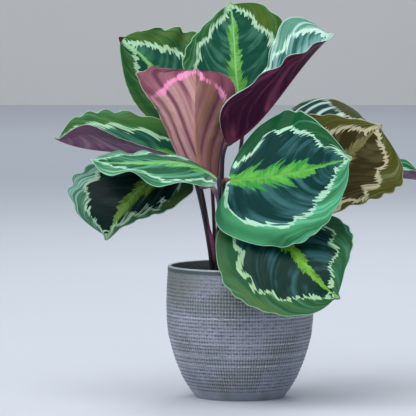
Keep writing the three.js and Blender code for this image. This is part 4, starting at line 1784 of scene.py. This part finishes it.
@dataclass(frozen=True)
class PotFinish:
    """Matt grey glaze over a woven relief: rings crossed by fine upright threads."""

    plain: Colour = (0.205, 0.24, 0.28)
    lilac: Colour = (0.315, 0.32, 0.41)
    # olive-grey: painted reflection on the glaze
    olive: Colour = (0.16, 0.185, 0.165)
    shade: Colour = (0.055, 0.062, 0.08)
    # painted highlight on the crests of the relief
    crest: Colour = (0.42, 0.45, 0.52)
    # pale lip: painted highlight along the rim
    lip: Colour = (0.42, 0.52, 0.54)
    under_lip: Colour = (0.045, 0.075, 0.08)
    inside: Colour = (0.14, 0.18, 0.195)

    def material(self, name: str, pot: Pot) -> bpy.types.Material:
        """Writes the material.

        Rings and threads are waves of the height and of the angle round the axis; noise makes
        the threads come and go. The pits where ring and thread meet are darkened as painted
        shade, and the crests lightened as painted highlight.

        Args:
            name: Name of the material.
            pot: The pot, for its sizes.

        Returns:
            The material.
        """
        nodes = Nodes(name)
        up, turn = nodes.uv(UV_NAME)  # shares of the height and of the full turn
        angle = turn * math.tau
        x, y = angle.sine(), (angle + math.pi / 2).sine()
        ring = (up * (math.tau * pot.height / pot.ring_pitch)).sine() * 0.5 + 0.5
        drift = nodes.noise(nodes.vector(x * 9.0, y * 9.0, up * 22.0), 1.0, 2.0)
        thread = (angle * pot.threads + drift * 1.6).sine() * 0.5 + 0.5
        cell = nodes.noise(nodes.vector(x * 34.0, y * 34.0, up * 38.0), 1.0, 2.0, 0.6)
        dash = nodes.noise(nodes.vector(x * 12.0, y * 12.0, up * 38.0 + 40.0), 1.0, 2.0, 0.6)
        patch = nodes.noise(nodes.vector(x * 2.2, y * 2.2, up * 5.0), 1.0, 3.0)
        wear_and_reflection = nodes.noise(nodes.vector(x * 1.4, y * 1.4, up * 3.0 + 9.0), 1.0, 2.0)
        woven = nodes.attribute("woven")

        body = nodes.mix((patch + 0.5).step(0.0, 1.0), self.plain, self.lilac)
        # olive-grey patches: painted reflection, laid out at random by the noise that also wears the
        # threads
        body = nodes.mix((wear_and_reflection + 0.15).step(0.0, 0.6) * 0.8, body, self.olive)
        woof = up.step(0.95, 0.72) * (wear_and_reflection + 0.9)  # threads fade towards the lip and where worn
        pits = (1.0 - ring) * 0.72 + (1.0 - thread) * woof * 0.5 + cell * 0.6 + dash * 0.45 - 0.25
        pits = pits.step(0.1, 1.0)
        # painted shade in the pits between rings and threads
        body = nodes.mix(pits * woven * 0.9, body, self.shade)
        # painted highlight on the crests
        crests = (ring * 0.5 + thread * woof * 0.5 + cell * 0.6 + dash * 0.3 - 0.1).step(0.5, 1.25)
        body = nodes.mix(crests * woven * 0.75, body, self.crest)
        # painted highlight along a few rings
        for height in pot.bright_rings:
            near = abs(up * pot.height - height + drift * 0.5).step(1.1, 0.3)
            body = nodes.mix(near * (dash + 0.7).step(0.0, 1.0) * woven * 0.85, body, self.crest)
        millimetres = up * pot.height
        # dark line under the lip, then the lip's painted highlight
        for depths, colour in ((pot.under_lip, self.under_lip), (pot.lip, self.lip)):
            low, high = (pot.height - depth for depth in depths)
            body = nodes.mix(millimetres.step(low, high), body, colour)
        body = nodes.mix(nodes.attribute("inner"), body, self.inside)
        body = nodes.tone(body, cell * 0.08 + patch * 0.06 + 1.0)

        height = (thread * 0.35 + cell * 0.35 + dash * 0.15) * woven + cell * 0.05
        rough = cell * 0.06 + 0.5
        return nodes.finish({"Base Color": body, "Roughness": rough, "Normal": nodes.bump(height)})


@dataclass
class Pot:
    """Turned pot with a curved wall, rings in its outside, a smooth lip and a smooth foot."""

    height: float = 132.0
    wall: float = 3.2
    floor: float = 5.0
    floor_slope: float = 3.0  # reach and rise of the slope from the floor to the wall
    lip_round: float = 1.2
    lip_power: float = 0.8  # how full the lip's round is
    foot: tuple[Pair, ...] = ((0.0, 0.9), (24.2, 0.9), (40.5, 0.5), (43.1, 0.0))  # hollow underside
    foot_edge: float = 0.1  # how far the lowest corner stands out past the outline
    ring_pitch: float = 3.6
    ring_rise: float = 0.55
    ring_sink: float = 0.8  # share of the rings' rise that lies below the outline
    ring_worn: float = 0.9  # share of the rise that the glaze leaves
    weave_from: Pair = (5.0, 12.0)  # heights between which the relief sets in
    weave_to: Pair = (7.5, 5.0)  # depths below the rim between which it ends
    under_lip: Pair = (6.5, 4.5)  # and between which the dark line and the lip's painted highlight set in
    lip: Pair = (1.9, 0.9)
    threads: int = 148
    segments: int = 252
    outer_rows: int = 232
    inner_rows: int = 40
    lip_rows: int = 13
    smooth_samples: int = 661  # the outline's corners are rounded by a window of 41 of these
    smooth_half: int = 20
    wobble: float = 0.0012  # unevenness of the round, a share of the radius
    wobble_count: int = 8
    wobble_seed: int = 5
    outline: tuple[Pair, ...] = (
        (44, 0), (46.4, 3), (50.4, 8), (57.7, 20), (64.3, 36), (68.1, 48), (71.8, 62), (73.4, 78),
        (73.8, 94), (73.2, 112), (72, 132),
    )  # fmt: skip
    # heights of the rings that get a painted highlight
    bright_rings: tuple[float, ...] = (84.0, 58.0, 46.0, 36.0)

    def radius(self, z: Array) -> Array:
        """Outside radius at a height: a smooth curve near the outline's corners."""
        radii, heights = np.array(self.outline).T
        fine = np.linspace(0, self.height, self.smooth_samples)
        wall = np.interp(fine, heights, radii)
        half = self.smooth_half
        kernel = np.hanning(2 * half + 1)
        before, after = wall[half:0:-1], wall[-2 : -2 - half : -1]
        padded = np.concatenate([2 * wall[0] - before, wall, 2 * wall[-1] - after])
        smooth = np.convolve(padded, kernel / kernel.sum(), mode="valid")
        return np.interp(z, fine, smooth)

    def section(self) -> tuple[Array, Array, Array, Array]:
        """Profile from the middle of the foot over the lip to the middle of the floor.

        Returns:
            Radii, heights, weights of the woven relief, and weights of the inside.
        """
        brow = self.height - self.lip_round
        z = np.linspace(0, brow, self.outer_rows)
        ends = (self.height - depth for depth in self.weave_to)
        woven = step(z, *self.weave_from) * (1 - step(z, *ends))
        rings = np.sin(math.tau * z / self.ring_pitch) * 0.5 + 0.5
        outer = self.radius(z) + woven * self.ring_rise * (rings - self.ring_sink) * self.ring_worn
        outer[0] = self.outline[0][0] + self.foot_edge
        foot_r, foot_z = np.array(self.foot).T
        turn = np.linspace(0, math.pi, self.lip_rows)[1:-1]
        top = float(self.radius(np.array(self.height)))
        lip_r = top - self.wall / 2 + self.wall / 2 * np.cos(turn)
        lip_z = brow + self.lip_round * np.sin(turn) ** self.lip_power
        inner_z = np.linspace(brow, self.floor + self.floor_slope, self.inner_rows)
        inner_r = self.radius(inner_z) - self.wall
        floor_r = np.array([inner_r[-1] - self.floor_slope, 0])
        floor_z = np.array([self.floor, self.floor])
        radii = np.concatenate([foot_r, outer, lip_r, inner_r, floor_r])
        heights = np.concatenate([foot_z, z, lip_z, inner_z, floor_z])
        weave, inside = np.zeros(len(radii)), np.zeros(len(radii))
        weave[len(foot_r) : len(foot_r) + len(z)] = woven
        inside[-(len(inner_r) + len(floor_r)) :] = 1
        return radii, heights, weave, inside

    def build(self) -> bpy.types.Object:
        """Turns the profile round the axis; both ends of it close in a point.

        Returns:
            The finished piece.
        """
        radii, heights, weave, inside = self.section()
        rows = len(radii) - 2
        angle = np.linspace(0, math.tau, self.segments, endpoint=False)
        ring = np.stack([np.sin(angle), -np.cos(angle)], -1)
        flat = radii[1:-1, None, None] * ring[None]
        place, row = angle * self.wobble_count / math.tau, np.full(self.segments, 3.0)
        noise = value_noise(place, row, self.wobble_seed, self.wobble_count)
        flat = flat * (1 + self.wobble * noise)[None, :, None]
        tall = np.broadcast_to(heights[1:-1, None, None], (rows, self.segments, 1))
        points = np.concatenate([flat, tall], -1).reshape(-1, 3)
        foot, floor = len(points), len(points) + 1
        points = np.vstack([points, [0, 0, heights[0]], [0, 0, heights[-1]]])
        quads = grid_quads(rows, self.segments, True)
        here = np.arange(self.segments)
        there = (here + 1) % self.segments
        last = (rows - 1) * self.segments
        fans = [
            *np.stack([there, here, np.full(self.segments, foot)], -1).tolist(),
            *np.stack([last + here, last + there, np.full(self.segments, floor)], -1).tolist(),
        ]
        turn = np.broadcast_to(angle / math.tau, (rows, self.segments))
        up = np.broadcast_to(heights[1:-1, None] / self.height, (rows, self.segments))
        poles = [[heights[0] / self.height, 0], [heights[-1] / self.height, 0]]

        def spread(values: Array) -> Array:
            """One value for each point from one for each corner of the profile."""
            return np.r_[np.repeat(values[1:-1], self.segments), values[0], values[-1]]

        surface = Surface(
            points=points,
            quads=quads,
            caps=fans,
            uv=np.vstack([np.stack([up, turn], -1).reshape(-1, 2), poles]),
            values={"woven": spread(weave), "inner": spread(inside)},
            closed=True,
        )
        return surface.piece("pot_body", [PotFinish().material("pot_glaze", self)])


# ---- soil ------------------------------------------------------------------------------------


@dataclass(frozen=True)
class SoilFinish:
    """Damp dark potting mix: brown grains, lighter bark, a few pale specks."""

    damp: Colour = (0.014, 0.009, 0.008)
    dry: Colour = (0.06, 0.038, 0.028)
    bark: Colour = (0.13, 0.075, 0.045)

    def material(self, name: str) -> bpy.types.Material:
        """Writes the material from three sizes of noise in the frame's own space."""
        nodes = Nodes(name)
        place = nodes.place()
        clods = nodes.noise(place, 160.0, 4.0, 0.6)
        grains = nodes.noise(place, 900.0, 3.0, 0.6)
        chips = nodes.noise(place, 330.0, 2.0, 0.4)
        body = nodes.mix((clods + grains * 0.5 + 0.3).step(0.0, 1.0), self.damp, self.dry)
        body = nodes.mix(chips.step(0.55, 0.8) * 0.8, body, self.bark)
        rough = grains * 0.08 + 0.85
        height = clods * 0.6 + grains * 0.4
        return nodes.finish({"Base Color": body, "Roughness": rough, "Normal": nodes.bump(height)})


@dataclass
class Soil:
    """Bed of potting mix that fills the pot, with loose crumbs on it."""

    pot: Pot
    gap: float = 0.45
    brim: float = 68.0  # radius at which the crown has run out
    coarse: float = 0.9  # heights of the lumps
    small: float = 0.6
    sink: float = 0.9
    levels: tuple[float, ...] = (122, 118, 108, 90, 70, 50, 34, 20, 11, 5.3)  # down the wall
    edge: float = 4.0  # slope at the bottom, and clear space between crumbs and wall
    rings: int = 90
    segments: int = 180
    crumbs: int = 420
    crumb_rings: int = 5
    crumb_sides: int = 7
    seed: int = 12

    def height(self, x: Array, y: Array) -> Array:
        """Height of the bed at a place, mm.

        Level beyond the brow, a low crown in the middle, and lumps of two sizes that lie
        mostly below that level.
        """
        r = np.hypot(x, y)
        gentle, steep = np.clip(r / SOIL_BROW, 0, 1), step(r, SOIL_BROW, self.brim)
        crown = SOIL_CROWN * (1 - 0.2 * gentle - 0.8 * steep)
        coarse = value_noise(x / 6 + 32, y / 6 + 32, self.seed)
        small = value_noise(x / 2.3 + 32, y / 2.3 + 32, self.seed + 1)
        return SOIL_TOP + crown + self.coarse * coarse + self.small * small - self.sink

    def bed(self) -> tuple[Array, Array]:
        """Points and cells of the bed: its top, then down the pot's inside to a flat bottom."""
        reach = float(self.pot.radius(np.array(SOIL_TOP))) - self.pot.wall - self.gap
        radii = reach * np.linspace(0.02, 1, self.rings) ** 0.85
        angle = np.linspace(0, math.tau, self.segments, endpoint=False)
        x, y = radii[:, None] * np.cos(angle), radii[:, None] * np.sin(angle)
        top = np.stack([x, y, self.height(x, y)], -1)
        levels = np.array(self.levels)
        wall = self.pot.radius(levels) - self.pot.wall - self.gap
        wall[-1] -= self.edge
        side_x, side_y = wall[:, None] * np.cos(angle), wall[:, None] * np.sin(angle)
        side = np.stack([side_x, side_y, np.broadcast_to(levels[:, None], side_x.shape)], -1)
        points = np.concatenate([top, side]).reshape(-1, 3)
        return points, grid_quads(self.rings + len(levels), self.segments, True)

    def crumb_meshes(self, offset: int) -> tuple[Array, Array]:
        """Points and cells of all crumbs: lumpy balls of a few rings, scattered and turned.

        Args:
            offset: Number of the first point.

        Returns:
            Points and cells.
        """
        random = np.random.default_rng(self.seed + 7)
        reach = float(self.pot.radius(np.array(SOIL_TOP))) - self.pot.wall - self.edge
        r = reach * np.sqrt(random.uniform(0.01, 1, self.crumbs))
        a = random.uniform(0, math.tau, self.crumbs)
        centre_x, centre_y = r * np.cos(a), r * np.sin(a)
        size = random.uniform(0.5, 1.7, self.crumbs) ** 1.2
        rings, sides = self.crumb_rings, self.crumb_sides
        lat = np.linspace(-1.35, 1.35, rings)
        lon = np.linspace(0, math.tau, sides, endpoint=False)
        wide, tall = np.cos(lat)[:, None], np.broadcast_to(np.sin(lat)[:, None], (rings, sides))
        ball = np.stack([wide * np.cos(lon), wide * np.sin(lon), tall], -1).reshape(1, -1, 3)
        lumps = 1 + random.uniform(-0.25, 0.25, (self.crumbs, rings * sides, 1))
        squash = random.uniform(0.55, 1.3, (self.crumbs, 1, 3)) * (1, 1, 0.7)
        spin = random.uniform(0, math.tau, self.crumbs)
        shape = ball * lumps * squash * size[:, None, None]
        c, s = np.cos(spin)[:, None], np.sin(spin)[:, None]
        x = shape[..., 0] * c - shape[..., 1] * s + centre_x[:, None]
        y = shape[..., 0] * s + shape[..., 1] * c + centre_y[:, None]
        z = shape[..., 2] + (self.height(centre_x, centre_y) + 0.25 * size)[:, None]
        points = np.stack([x, y, z], -1).reshape(-1, 3)
        one = grid_quads(rings, sides, True)
        quads = (one[None] + (np.arange(self.crumbs) * rings * sides)[:, None, None]).reshape(-1, 4)
        return points, quads + offset

    def build(self) -> bpy.types.Object:
        """Joins bed and crumbs in one piece.

        Returns:
            The finished piece.
        """
        bed, cells = self.bed()
        if enclosed(bed, cells) < 0:
            cells = cells[:, ::-1]
        crumbs, crumb_cells = self.crumb_meshes(len(bed))
        if enclosed(crumbs, crumb_cells - len(bed)) < 0:
            crumb_cells = crumb_cells[:, ::-1]
        per = self.crumb_rings * self.crumb_sides
        sides = np.arange(self.crumb_sides)
        starts = len(bed) + per * np.arange(self.crumbs)
        lids = [(start + sides[::-1]).tolist() for start in starts]
        lids += [(start + per - self.crumb_sides + sides).tolist() for start in starts]
        surface = Surface(
            points=np.vstack([bed, crumbs]),
            quads=np.vstack([cells, crumb_cells]),
            caps=[*end_caps(len(bed) // self.segments, self.segments), *lids],
        )
        return surface.piece("soil_bed", [SoilFinish().material("potting_mix")])


# ---- floor, light and camera -----------------------------------------------------------------


@dataclass(frozen=True)
class Lamp:
    """One square soft lamp: where it stands, the side of its panel, its power and its aim."""

    name: str
    at: Triple
    size: float
    watts: float
    colour: Colour
    aim: Triple = (0.0, 0.0, 0.22)

    def build(self) -> None:
        """Adds the lamp and turns it to its aim."""
        data = bpy.data.lights.new(self.name, "AREA")
        data.size = self.size
        data.energy = self.watts
        data.color = self.colour
        lamp = bpy.data.objects.new(self.name, data)
        direction = np.array(self.aim) - np.array(self.at)
        flat = math.hypot(direction[0], direction[1])
        pitch, yaw = math.atan2(flat, -direction[2]), math.atan2(-direction[0], direction[1])
        lamp.location = self.at
        lamp.rotation_euler = (pitch, 0, yaw)
        bpy.context.scene.collection.objects.link(lamp)


LAMPS = (
    Lamp("window", (-1.1, -0.9, 3.0), 3.4, 118, (1.0, 0.98, 0.95)),
    Lamp("left_fill", (-3.0, -2.4, 1.0), 2.0, 26, (0.95, 0.98, 1.0)),
    Lamp("right_fill", (3.0, -2.2, 1.2), 1.6, 14, (0.9, 0.95, 1.0)),
    Lamp("rim", (0.6, 2.2, 1.9), 1.4, 22, (1.0, 1.0, 1.0)),
    Lamp("wall_wash", (0.0, 4.6, 3.4), 2.6, 45, (1.0, 1.0, 1.0), aim=(0.0, 7.6, 1.2)),
)


@dataclass
class Studio:
    """Plain pale floor and wall, soft light, and the photo's camera. Metres."""

    floor_colour: Colour = (0.49, 0.53, 0.59)
    wall_colour: Colour = (0.66, 0.655, 0.645)
    wall_y: float = 7.65
    wall_height: float = 7.0
    near: float = -9.0
    side: float = 9.0
    sky: Colour = (0.86, 0.92, 1.0)
    sky_strength: float = 0.5
    camera_at: Triple = (-0.032, -3.5, 0.425)
    camera_pitch: float = 3.86
    lens: float = 303.9
    sensor: float = 36.0

    def plain_material(self, name: str, colour: Colour) -> bpy.types.Material:
        """Plain matt paint, faintly clouded."""
        nodes = Nodes(name)
        cloud = nodes.noise(nodes.place(), 1.2, 3.0)
        return nodes.finish({"Base Color": nodes.tone(colour, cloud * 0.03 + 1.0), "Roughness": 0.8})

    def sheet(self, name: str, corners: Sequence[Triple], colour: Colour) -> None:
        """Adds one flat sheet of the setting."""
        mesh = bpy.data.meshes.new(name)
        mesh.from_pydata(corners, [], [(0, 1, 2, 3)])
        mesh.materials.append(self.plain_material(f"{name}_paint", colour))
        panel = bpy.data.objects.new(name, mesh)
        bpy.context.scene.collection.objects.link(panel)

    def build(self) -> None:
        """Sets up floor, wall, sky, lamps and camera."""
        far, near, side, high = self.wall_y, self.near, self.side, self.wall_height
        ground = [(-side, near, 0), (side, near, 0), (side, far, 0), (-side, far, 0)]
        upright = [(-side, far, 0), (side, far, 0), (side, far, high), (-side, far, high)]
        self.sheet("floor", ground, self.floor_colour)
        self.sheet("backdrop", upright, self.wall_colour)
        world = bpy.data.worlds.new("sky")
        world.use_nodes = True
        background = world.node_tree.nodes["Background"]
        background.inputs[0].default_value = (*self.sky, 1)
        background.inputs[1].default_value = self.sky_strength
        scene = bpy.context.scene
        scene.world = world
        scene.view_settings.view_transform = "Standard"
        for lamp in LAMPS:
            lamp.build()
        data = bpy.data.cameras.new("photo_camera")
        data.lens = self.lens
        data.sensor_width = self.sensor
        camera = bpy.data.objects.new("photo_camera", data)
        camera.location = self.camera_at
        camera.rotation_euler = (math.radians(90 - self.camera_pitch), 0, 0)
        scene.collection.objects.link(camera)
        scene.camera = camera


# ---- the plant -------------------------------------------------------------------------------


def corners(box: Any) -> list[list[float]]:
    """A box as two plain lists of numbers."""
    return [[float(value) for value in corner] for corner in box]


def main() -> None:
    """Loads the frame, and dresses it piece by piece."""
    logging.basicConfig(level=logging.INFO, format="%(name)s %(message)s")
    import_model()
    Studio().build()
    pot = Pot()
    hand_in(pot.build(), "pot", "pot")
    hand_in(Soil(pot).build(), "soil", "soil")
    for seed, (name, shape) in enumerate(LEAVES.items(), start=1):
        stalk = Petiole(name, shape, STALKS.get(name, Stalk.MAROON), seed)
        hand_in(stalk.build(), "stalk", f"petiole_{name}")
        face, reverse = FACES[name]
        slot = "leaf_bronze" if face is Face.BRONZE else "leaf"
        blade = Blade(name, shape, MARKINGS[name], face, reverse, seed)
        hand_in(blade.build(), slot, f"blade_{name}")


if __name__ == "__main__":
    main()
